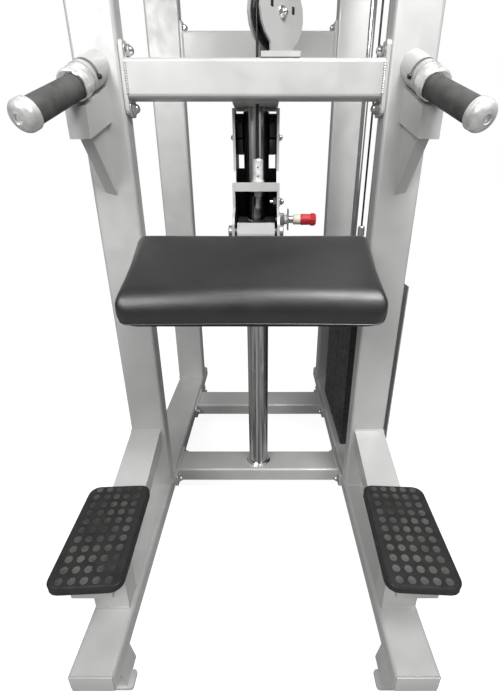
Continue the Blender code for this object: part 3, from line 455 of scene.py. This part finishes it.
def skirt_pull(position, depth):
    """How far the side of the cover moves in or out, at a place round the edge and a depth down it."""
    turn = position * 2 * math.pi
    corner = abs(math.cos(turn)) ** 8
    gathers = 0.0011 * math.sin(turn * 41) + 0.0006 * math.sin(turn * 67 + 1)
    bulge = 0.0020 * math.sin(math.pi * depth) - PAD_TUCK * depth ** 7
    return bulge + gathers * depth ** 2 * (0.25 + 0.75 * corner)


def cushion():
    """The upholstered cushion: a crowned top that rolls over its front edge and tucks in under its board."""
    columns, rows, levels = 104, 60, 9
    spread_u = [math.sin(math.pi / 2 * (2 * i / columns - 1)) for i in range(columns + 1)]
    spread_v = [math.sin(math.pi / 2 * (2 * j / rows - 1)) for j in range(rows + 1)]
    bm = bmesh.new()
    grid = [[bm.verts.new(pad_top(u, v)) for u in spread_u] for v in spread_v]
    for lower, upper in zip(grid, grid[1:]):
        for i in range(columns):
            bm.faces.new((lower[i], lower[i + 1], upper[i + 1], upper[i]))
    rim = grid[0] + [row[-1] for row in grid[1:]] + grid[-1][-2::-1] + [row[0] for row in grid[-2:0:-1]]
    low = -(PAD_SIZE[2] + PAD_BOARD) / 2 + PAD_BOARD + 0.0006
    rings = [rim]
    for level in range(1, levels + 1):
        depth = level / levels
        ring = []
        for i, vert in enumerate(rim):
            outward = Vector((vert.co.x / PAD_SIZE[0], vert.co.y / PAD_SIZE[1], 0)).normalized()
            position = math.atan2(vert.co.y / PAD_SIZE[1], vert.co.x / PAD_SIZE[0]) / (2 * math.pi) + 0.125
            z = vert.co.z + (low - vert.co.z) * depth
            spot = Vector((vert.co.x, vert.co.y, z)) + outward * skirt_pull(position, depth)
            ring.append(bm.verts.new(spot))
        rings.append(ring)
    for upper, lower in zip(rings, rings[1:]):
        for i in range(len(rim)):
            j = (i + 1) % len(rim)
            bm.faces.new((upper[i], lower[i], lower[j], upper[j]))
    bm.faces.new(rings[-1])
    return bm, [tuple(vert.co) for vert in rings[-1]]


def knee_pad():
    """The cushion, the welt round its lower edge and the screws under its board."""
    bm, hem = cushion()
    bmesh.ops.recalc_face_normals(bm, faces=bm.faces)
    mesh = bpy.data.meshes.new("cushion")
    bm.to_mesh(mesh)
    bm.free()
    for polygon in mesh.polygons:
        polygon.use_smooth = True
    mesh.materials.append(MATERIALS["upholstery"])
    item = bpy.data.objects.new("cushion", mesh)
    bpy.context.scene.collection.objects.link(item)
    place = pad_axes()
    item.matrix_world = place
    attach(item, "pad")
    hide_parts("knee_pad")
    welt = [place @ (Vector(point) * 0.992 + Vector((0, 0, -0.0015))) for point in hem[::2]]
    Batch().tube(welt + welt[:1], 0.0022, 8).make("pad_welt", "upholstery", "pad")
    board = Batch()
    for x in PAD_SCREW_X:
        for y in PAD_SCREW_Y:
            spot = place @ Matrix.Translation((x, y, -PAD_SIZE[2] / 2 - PAD_BOARD / 2))
            spot = spot @ Matrix.Rotation(math.pi, 4, "X")
            board.lathe([(0.006, 0), (0.006, 0.0008), (0.004, 0.0018), (0, 0.002)], spot, 16)
    board.make("pad_screws", "zinc", "pad")


# ---- steps ---------------------------------------------------------------------------------------
def treads():
    """Round studs, 5 across and 11 along, with a low rim round each plate."""
    radius, height = TREAD_STUD
    dome = [(radius, -0.0004), (radius, height * 0.55), (radius * 0.93, height * 0.92),
            (radius * 0.72, height), (radius * 0.62, height * 0.80), (0, height * 0.80)]
    for word, side in SIDES:
        low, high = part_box(f"{word}_foot_plate")
        centre = Vector(((low[0] + high[0]) / 2, (low[1] + high[1]) / 2, high[2]))
        place = Matrix.Translation(centre) @ Matrix.Rotation(-side * TREAD_TOE_IN, 4, "Z")
        studs = Batch()
        for column in range(TREAD_COLUMNS):
            for row in range(TREAD_ROWS):
                x = (column - (TREAD_COLUMNS - 1) / 2) * TREAD_PITCH[0]
                y = (row - (TREAD_ROWS - 1) / 2) * TREAD_PITCH[1]
                studs.lathe(dome, place @ Matrix.Translation((x, y, 0)), 18)
        studs.make(f"{word}_tread_studs", "stud_rubber", "frame", "tread_rubber")
        lip = Batch()
        outline = []
        half_x, half_y, corner = TREAD_LIP
        for cx, cy, first in ((1, 1, 0), (-1, 1, 90), (-1, -1, 180), (1, -1, 270)):
            for i in range(7):
                a = math.radians(first + 15 * i)
                outline.append(place @ Vector((cx * (half_x - corner) + corner * math.cos(a),
                                               cy * (half_y - corner) + corner * math.sin(a), -0.0042)))
        lip.tube(outline + outline[:1], 0.0017, 8)
        lip.make(f"{word}_tread_lip", "black_plastic", "frame", "tread_rubber")


# ---- frame detail --------------------------------------------------------------------------------
def cross_bolts():
    """Acorn bolts through the ears of each cross member's end plates, on the inner side of the tubes."""
    bolts = Batch()
    seats = []
    for name in ("upper_front_cross", "upper_rear_cross"):
        low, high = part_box(name)
        y = low[1] + UPPER_FRONT_BOLT_Y if name == "upper_front_cross" else (low[1] + high[1]) / 2
        seats += [(y, low[2] + 0.016), (y, high[2] - 0.016)]
    for name in ("lower_front_cross", "lower_rear_cross"):
        low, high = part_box(name)
        z = (low[2] + high[2]) / 2
        seats += [(low[1] + 0.015, z), (high[1] - 0.015, z)]
    for y, z in seats:
        for side in (-1, 1):
            spot = (side * (UPRIGHT_X - EAR), y, z)
            acorn_bolt(bolts, axes_to(spot, (-side, 0, 0)), 0.0090)
    bolts.make("cross_bolts", "chrome", "frame")


def cross_welds():
    """Beads where each cross member meets its end plates."""
    welds = Batch()
    ears = {"upper_front_cross": (0, 0.032), "upper_rear_cross": (0, 0.030),
            "lower_front_cross": (0.030, 0), "lower_rear_cross": (0.030, 0), "top_cross": (0, 0)}
    for name, (ear_y, ear_z) in ears.items():
        low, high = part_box(name)
        y_low, y_high = low[1] + ear_y, high[1] - ear_y
        if name == "upper_front_cross":
            y_high = low[1] + UPPER_FRONT_DEPTH
        z_low, z_high = low[2] + ear_z, high[2] - ear_z
        for side in (-1, 1):
            x = side * (UPRIGHT_X - EAR - 0.0012)
            for start, end in (((y_low + 0.008, z_high), (y_high - 0.008, z_high)),
                               ((y_low + 0.008, z_low), (y_high - 0.008, z_low)),
                               ((y_low, z_low + 0.008), (y_low, z_high - 0.008)),
                               ((y_high, z_low + 0.008), (y_high, z_high - 0.008))):
                welds.weld((x, *start), (x, *end))
    welds.make("cross_welds", "frame_paint", "frame")


def upright_welds():
    """Beads round the uprights' feet, round each step arm and along its pedestal."""
    welds = Batch()
    for word, side in SIDES:
        for name in ("front_upright", "rear_upright"):
            low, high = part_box(f"{word}_{name}")
            z = low[2] + 0.0008
            x_low, x_high, y_low, y_high = low[0], high[0], low[1], high[1]
            corners = [(x_low, y_low), (x_high, y_low), (x_high, y_high), (x_low, y_high), (x_low, y_low)]
            for start, end in zip(corners, corners[1:]):
                a, b = Vector((*start, z)), Vector((*end, z))
                inset = (b - a).normalized() * 0.007
                welds.weld(a + inset, b - inset)
        front = FACE_Y - 0.0008
        arm_low, arm_high = sorted(side * x for x in STEP_ARM_X)
        runs = [((x, front, STEP_ARM_TOP - STEP_ARM_HEIGHT), (x, front, STEP_ARM_TOP))
                for x in (arm_low, arm_high)]
        runs.append(((arm_low, front, STEP_ARM_TOP), (arm_high, front, STEP_ARM_TOP)))
        rail_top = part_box(f"{word}_front_rail")[1][2] + 0.0008
        pedestal_low, pedestal_high = sorted(side * x for x in PEDESTAL_X)
        runs += [((pedestal_low, y, rail_top), (pedestal_high, y, rail_top)) for y in PEDESTAL_Y]
        for start, end in runs:
            welds.weld(start, end)
    welds.make("upright_welds", "frame_paint", "frame")


def circle(centre, axis, radius, count=72):
    place = axes_to(centre, axis)
    return [place @ Vector((radius * math.cos(a), radius * math.sin(a), 0))
            for a in (2 * math.pi * i / count for i in range(count + 1))]


def post_detail():
    """A bright ring and a weld at the post's foot."""
    foot = (POST_X, POST_Y, POST_LOW[2])
    Batch().lathe([(POST_RADIUS + 0.0004, 0), (POST_RADIUS + 0.009, 0), (POST_RADIUS + 0.009, 0.004),
                   (POST_RADIUS + 0.0035, 0.010), (POST_RADIUS + 0.0004, 0.010)],
                  axes_to(foot, (0, 0, 1)), 48).make("post_base_ring", "chrome", "frame")
    welds = Batch()
    seam = circle((POST_X, POST_Y, POST_LOW[2] + 0.001), (0, 0, 1), POST_RADIUS + 0.0100, 220)
    welds.tube(seam, 0.0024, WELD_SIDES, 0.18)
    welds.make("post_weld", "frame_paint", "frame")


def end_caps():
    """Painted plates over the front rails' ends, and black caps with plugs in the uprights' tops."""
    caps = Batch()
    for word in ("left", "right"):
        low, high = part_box(f"{word}_front_rail")
        middle = Vector(((low[0] + high[0]) / 2, low[1] - 0.0016, (low[2] + high[2]) / 2))
        plate = (high[0] - low[0] - 0.006, 0.003, high[2] - low[2] - 0.006)
        caps.block(plate, Matrix.Translation(middle), 0.0010)
    caps.make("rail_end_plates", "frame_paint", "frame")
    tops = Batch()
    for word in ("left", "right"):
        for name in ("front_upright", "rear_upright"):
            low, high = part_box(f"{word}_{name}")
            middle = Vector(((low[0] + high[0]) / 2, (low[1] + high[1]) / 2, high[2] + 0.0012))
            width, depth = high[0] - low[0], high[1] - low[1]
            tops.block((width - 0.002, depth - 0.002, 0.0026), Matrix.Translation(middle), 0.0010)
            plug = Vector((middle.x, middle.y, high[2] - 0.008))
            tops.block((width - 0.0080, depth - 0.0080, 0.016), Matrix.Translation(plug), 0.001)
    tops.make("tube_caps", "black_plastic", "frame")


def chin_grips():
    """Rubber sleeves on the last straight stretch of each chin bar."""
    for word in ("left", "right"):
        item = NODES[f"{word}_chin_bar"]
        ends = sorted((v.co.copy() for v in item.data.vertices), key=lambda co: -abs(co.x))[:16]
        tip = sum(ends, Vector()) / len(ends)
        near = [v.co.copy() for v in item.data.vertices if 0.05 < (v.co - tip).length]
        near = sorted(near, key=lambda co: (co - tip).length)[:16]
        inner = sum(near, Vector()) / len(near)
        out = (tip - inner).normalized()
        reach = (tip - inner).length
        covered = min(CHIN_GRIP_LENGTH, reach * 0.8)
        place = axes_to(tip - out * covered, out)
        length = covered - 0.002
        edge = 0.003
        profile = [(CHIN_BAR_RADIUS + 0.0004, 0), (CHIN_GRIP_RADIUS - edge, 0), (CHIN_GRIP_RADIUS, edge),
                   (CHIN_GRIP_RADIUS, length - edge), (CHIN_GRIP_RADIUS - edge, length),
                   (CHIN_BAR_RADIUS + 0.0004, length)]
        Batch().lathe(profile, place, 28).make(f"{word}_chin_grip", "grip_rubber", "frame")


# ---- dip handles ---------------------------------------------------------------------------------
def mirrored(point, side):
    return Vector((side * point[0], point[1], point[2]))


def end_cap_profile():
    """A short rim with one turned line, a dome, and a round recess with a screw's button in it."""
    rim = [(0, 0), (0.0258, 0), (0.0270, 0.0012), (0.0270, 0.0098), (0.0264, 0.0104), (0.0270, 0.0110)]
    dome = []
    for i in range(1, 12):
        a = math.radians(7.0 * i)
        dome.append((0.0092 + 0.0178 * math.cos(a), 0.0125 + 0.0160 * math.sin(a)))
    recess = [(0.0095, 0.0289), (0.0088, 0.0292), (0.0080, 0.0284), (0.0076, 0.0238), (0.0054, 0.0238),
              (0.0052, 0.0262), (0.0030, 0.0271), (0, 0.0272)]
    return rim + dome + recess


def handle_detail():
    """Each handle's stop pin, a painted shadow inside its slot, the rubber sleeve, its flange and the end cap.

    The sleeve is a little slimmer than the CAD grip, most at its root.
    """
    for word, side in SIDES:
        start = mirrored(HANDLE_FOOT, side)
        along = mirrored(HANDLE_AXIS, side)
        place = axes_to(start, along, (-side, 0, 0))
        grip = mirrored(GRIP_AXIS, side)
        root = place @ Vector((GRIP_ROOT_OFFSET, 0, GRIP_ROOT_AT))
        grip_foot = axes_to(root + grip * GRIP_START, grip)
        body = f"{word}_dip"
        flange = Batch()
        rim = GRIP_RADIUS + 0.0019
        flange.lathe([(rim - 0.0035, -0.0046), (rim - 0.0008, -0.0042), (rim, -0.0030), (rim, -0.0012),
                      (rim - 0.0010, -0.0003), (0.0135, -0.0003)], grip_foot, 40)
        flange.make(f"{word}_grip_flange", "chrome", body)
        Batch().lathe([(0.0046, 0), (0.0046, 0.0155), (0.0038, 0.0170), (0, 0.0172)],
                      axes_to(place @ Vector((0.0180, 0, STOP_PIN_AT)), place.to_3x3() @ Vector((1, 0, 0))),
                      18).make(f"{word}_stop_pin", "black_plastic", body)
        # A black disc filling the collar's bore at the slot: painted shadow seen through the slot.
        band, band_low, band_high = COLLAR_BORE + 0.0001, STOP_PIN_AT - SLOT_HALF, STOP_PIN_AT + SLOT_HALF
        Batch().lathe([(0, band_low), (band, band_low), (band, band_high), (0, band_high)],
                      place, 48).make(f"{word}_slot_shadow", "black_plastic", body)
        sleeve = [(0.0170, 0), (GRIP_RADIUS - 0.0026, 0), (GRIP_RADIUS - 0.0016, 0.0012)]
        sleeve += [(GRIP_RADIUS - 0.0016 + 0.0010 * i / 12, 0.0012 + (GRIP_LENGTH - 0.0024) * i / 12)
                   for i in range(1, 13)]
        sleeve += [(GRIP_RADIUS - 0.0016, GRIP_LENGTH - 0.0005), (0.0170, GRIP_LENGTH - 0.0005)]
        rubber_grip = Batch().lathe(sleeve, grip_foot, 72).make(
            f"{word}_grip_sleeve", "grip_rubber", body)
        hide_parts(f"{word}_dip_grip")
        cap_low = root + grip * (GRIP_START + GRIP_LENGTH + 0.0003)
        cap = Batch().lathe(end_cap_profile(), axes_to(cap_low, grip), 72).make(
            f"{word}_end_cap", "satin_alloy", body)
        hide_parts(f"{word}_dip_cap")


# ---- pulleys, carriage and stack -----------------------------------------------------------------
def pulley_detail():
    """Axle bolts, and black patches on the centre pulley's cheeks that paint the shade inside its small slots."""
    bolts, slots = Batch(), Batch()
    for name in ("centre_pulley", "stack_pulley"):
        joint = JOINTS[f"{name}_spin"]
        centre, axle = Vector(joint["pos_m"]), Vector(joint["axis"]).normalized()
        for way in (1, -1):
            acorn_bolt(bolts, axes_to(centre + axle * way * AXLE_BOLT_SEAT, axle * way), 0.0072)
    joint = JOINTS["centre_pulley_spin"]
    centre, axle = Vector(joint["pos_m"]), Vector(joint["axis"]).normalized()
    across = Vector((0, 0, 1)).cross(axle).normalized()
    # Black patches for the cheek slots: painted shade inside the slots.
    for way in (1, -1):
        for shift in (-0.0335, 0.0335):
            spot = centre + axle * way * CHEEK_FACE + across * shift + Vector((0, 0, 0.010))
            slots.block((0.0085, 0.0140, 0.0012), axes_to(spot, axle * way, across), 0.0004)
    bolts.make("pulley_bolts", "chrome", "frame")
    slots.make("cheek_slot_shade", "black_plastic", "frame")


def carriage_detail():
    """Axle bolts of the rollers, the stud's nuts and the stop bolt."""
    bolts = Batch()
    for name in ("upper_roller", "lower_roller"):
        centre = Vector(JOINTS[f"{name}_spin"]["pos_m"])
        for side in (-1, 1):
            acorn_bolt(bolts, axes_to((side * PLATE_OUTSIDE, centre.y, centre.z), (side, 0, 0)), 0.0066)
    acorn_bolt(bolts, axes_to((PLATE_OUTSIDE, *STOP_BOLT), (1, 0, 0)), 0.0062)
    inside = axes_to((PLATE_INSIDE, *STOP_BOLT), (-1, 0, 0))
    bolts.lathe([(0, 0), (0.0105, 0), (0.0105, 0.0085), (0.0090, 0.0095), (0, 0.0095)], inside, 6)
    bolts.lathe([(0.0048, 0), (0.0048, 0.0160), (0.0040, 0.0170), (0, 0.0170)], inside, 14)
    bolts.make("carriage_bolts", "chrome", "carriage")
    low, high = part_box("cable_stud")
    x, y = (low[0] + high[0]) / 2, (low[1] + high[1]) / 2
    nuts = Batch()
    core, seat = STUD_RADIUS, SHELF_LOW - 0.0004
    nut_low = seat - 0.0120
    nuts.lathe([(core, nut_low), (0.0172, nut_low), (0.0172, seat - 0.0012), (0.0156, seat), (core, seat)],
               Matrix.Translation((x, y, 0)), 6)
    thread, z = [], low[2] + 0.005
    while z < seat - 0.0140:
        thread += [(core, z), (core + 0.0005, z + 0.0006), (core, z + 0.0012)]
        z += 0.0015
    nuts.lathe(thread, Matrix.Translation((x, y, 0)), 20)
    nuts.make("stud_nuts", "zinc", "carriage")
    # Black discs on the stud at its holes: painted shade inside the holes.
    holes = Batch()
    for z in STUD_HOLE_SHADE_Z:
        holes.lathe([(0.0019, 0.0124), (0.0019, 0.0132), (0, 0.0132)], axes_to((x, y, z), (0, -1, 0)), 14)
    holes.make("stud_hole_shade", "black_plastic", "carriage")


def carriage_shade_and_pads():
    """Paints the carriage's inner side faces and the front of its rear panel black, as painted shade inside the
    carriage, and adds its slide pads.
    """
    item = NODES["carriage_frame"]
    item.data.materials.append(MATERIALS["black_plastic"])
    for polygon in item.data.polygons:
        # Faces looking into the carriage are made black: painted shade inside it.
        inward = abs(polygon.normal.x) > 0.9
        panel = polygon.center.y > POST_Y + POST_RADIUS and polygon.normal.y < -0.9
        if (inward or panel) and abs(polygon.center.x) < CARRIAGE_INNER_X:
            polygon.material_index = 1
    pads = Batch()
    for side in (-1, 1):
        for z in SLIDE_PADS_Z:
            place = Matrix.Translation((side * 0.0408, POST_Y + 0.006, z))
            pads.block((0.0150, 0.0340, 0.0325), place, 0.0015)
        above_roller = Matrix.Translation((side * 0.0398, FACE_Y + 0.1650, 1.1440))
        pads.block((0.0185, 0.0060, 0.0170), above_roller, 0.0008)
    pads.make("slide_pads", "black_plastic", "carriage")


def pull_pin_detail():
    """The pin's nut and tab on the carriage, the pale bush behind the red knob, and the knob's ridges."""
    low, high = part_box("pull_knob")
    pin_y, pin_z = (low[1] + high[1]) / 2, (low[2] + high[2]) / 2

    def on_pin(x):
        return axes_to((x, pin_y, pin_z), (1, 0, 0))

    fixed = Batch()
    bore = 0.0112
    fixed.lathe([(bore, 0), (0.0150, 0), (0.0150, 0.0095), (0.0138, 0.0105), (bore, 0.0105)],
                on_pin(0.0575), 6)
    fixed.lathe([(bore, 0), (0.0165, 0), (0.0165, 0.0012), (bore, 0.0012)], on_pin(0.0563), 28)
    fixed.make("pull_pin_nut", "zinc", "carriage")
    tab, tab_x = Batch(), 0.0765
    for rise in (0.0175, -0.0175):
        tab.block((0.0028, 0.0300, 0.0130), Matrix.Translation((tab_x, pin_y, pin_z + rise)), 0.0006)
    for reach in (0.0133, -0.0133):
        tab.block((0.0028, 0.0034, 0.0240), Matrix.Translation((tab_x, pin_y + reach, pin_z)), 0.0004)
    tab.make("pull_pin_tab", "zinc", "carriage")
    bush = [(0.0087, -0.0170), (0.0112, -0.0170), (0.0117, -0.0160), (0.0117, -0.0010),
            (0.0110, 0), (0.0087, 0)]
    Batch().lathe(bush, on_pin(low[0] - 0.0003), 32).make("pull_pin_bush", "cream_plastic", "pull_pin")
    ridges, ridge_count = Batch(), 16
    for i in range(ridge_count):
        a = 2 * math.pi * i / ridge_count
        start = on_pin(high[0] - 0.0125) @ Vector((0.0134 * math.cos(a), 0.0134 * math.sin(a), 0))
        ridges.tube([start, start + Vector((0.0098, 0, 0))], 0.0011, 6)
    ridges.make("knob_ridges", "red_knob", "pull_pin")


def cable_run(name, node):
    """A straight run of coated cable, drawn in its CAD node's place."""
    low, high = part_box(node)
    x, y = (low[0] + high[0]) / 2, (low[1] + high[1]) / 2
    points = bead((x, y, low[2]), (x, y, high[2]), 0.010)
    item = Batch().tube(points, CABLE_RADIUS, 14).make(name, "cable_sheath", None)
    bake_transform(item)
    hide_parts(node)


def pin_holes():
    """A dark ring round the selector hole of each resting plate."""
    holes = Batch()
    low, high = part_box("lifted_plates")
    rest_low, rest_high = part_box("resting_plates")
    count = round((high[2] - rest_low[2]) / PLATE_PITCH)
    for i in range(count):
        z = rest_low[2] + (i + 0.5) * PLATE_PITCH
        if z < rest_high[2]:
            spot = (low[0] - 0.0002, (low[1] + high[1]) / 2, z)
            holes.lathe([(0.0066, 0), (0.0066, 0.0006), (0.0052, 0.0006), (0.0052, 0.0002), (0, 0.0002)],
                        axes_to(spot, (-1, 0, 0)), 20)
    holes.make("pin_holes", "stack_paint", "frame")


# ---- stage ---------------------------------------------------------------------------------------
def area_light(name, place, target, size, power):
    data = bpy.data.lights.new(name, "AREA")
    data.shape = "DISK"
    data.size = size
    data.energy = power
    item = bpy.data.objects.new(name, data)
    item.location = place
    item.rotation_euler = (Vector(target) - Vector(place)).to_track_quat("-Z", "Y").to_euler()
    bpy.context.scene.collection.objects.link(item)


def seen_directly(tree):
    """1 where the stage is looked at straight on, 0 where it only lights or is reflected."""
    return tree.nodes.new("ShaderNodeLightPath").outputs["Is Camera Ray"]


def surround():
    """White behind the object; dim and brighter overhead as the object sees it."""
    world = bpy.data.worlds.new("surround")
    world.use_nodes = True
    tree = world.node_tree
    background = tree.nodes["Background"]
    background.inputs["Color"].default_value = (1, 1, 1, 1)
    direction = tree.nodes.new("ShaderNodeSeparateXYZ")
    tree.links.new(tree.nodes.new("ShaderNodeTexCoord").outputs["Generated"], direction.inputs["Vector"])
    height = tree.nodes.new("ShaderNodeMapRange")
    ends = {"From Min": -0.3, "From Max": 1.0, "To Min": SURROUND_LOW, "To Max": SURROUND_HIGH}
    for socket, value in ends.items():
        height.inputs[socket].default_value = value
    tree.links.new(direction.outputs["Z"], height.inputs["Value"])
    strength = tree.nodes.new("ShaderNodeMix")
    tree.links.new(seen_directly(tree), strength.inputs["Factor"])
    tree.links.new(height.outputs["Result"], strength.inputs["A"])
    strength.inputs["B"].default_value = 1.0
    tree.links.new(strength.outputs["Result"], background.inputs["Strength"])
    bpy.context.scene.world = world


def pale_floor():
    mesh = bpy.data.meshes.new("floor")
    reach = 40.0
    mesh.from_pydata([(-reach, -reach, 0), (reach, -reach, 0), (reach, reach, 0), (-reach, reach, 0)], [],
                     [(0, 1, 2, 3)])
    floor = bpy.data.objects.new("floor", mesh)
    pale = Surface("floor_pale", (0.34, 0.34, 0.34), 0.9, Specular_IOR_Level=0.0)
    pale.shader.inputs["Emission Color"].default_value = (1, 1, 1, 1)
    glow = pale.tree.nodes.new("ShaderNodeMath")
    glow.operation = "MULTIPLY"
    glow.inputs[1].default_value = FLOOR_GLOW
    pale.tree.links.new(seen_directly(pale.tree), glow.inputs[0])
    pale.tree.links.new(glow.outputs["Value"], pale.shader.inputs["Emission Strength"])
    mesh.materials.append(pale.made)
    bpy.context.scene.collection.objects.link(floor)


def stage():
    """A pale floor, a white surround and soft light from above and in front."""
    surround()
    pale_floor()
    bpy.context.scene.view_settings.view_transform = "Standard"
    area_light("key", (-1.7, -3.1, 2.8), (0, 0, 0.9), 1.7, 74)
    area_light("overhead", (0.90, -1.60, 3.0), (0.15, -0.3, 0.8), 1.2, 72)
    area_light("right_fill", (2.2, -2.6, 1.7), (0, 0, 0.8), 1.4, 5)


def camera():
    data = bpy.data.cameras.new("camera")
    data.lens = CAMERA_LENS
    data.shift_x = CAMERA_SHIFT_X
    data.clip_start = 0.05
    item = bpy.data.objects.new("camera", data)
    item.location = CAMERA_PLACE
    item.rotation_euler = (math.pi / 2 - CAMERA_DOWN, 0, 0)
    bpy.context.scene.collection.objects.link(item)
    bpy.context.scene.camera = item


stage()
camera()
dress_cad()
knee_pad()
treads()
cross_bolts()
cross_welds()
upright_welds()
post_detail()
end_caps()
chin_grips()
handle_detail()
pulley_detail()
carriage_detail()
carriage_shade_and_pads()
pull_pin_detail()
cable_run("carriage_cable_run", "carriage_cable")
cable_run("stack_cable_run", "stack_cable")
pin_holes()
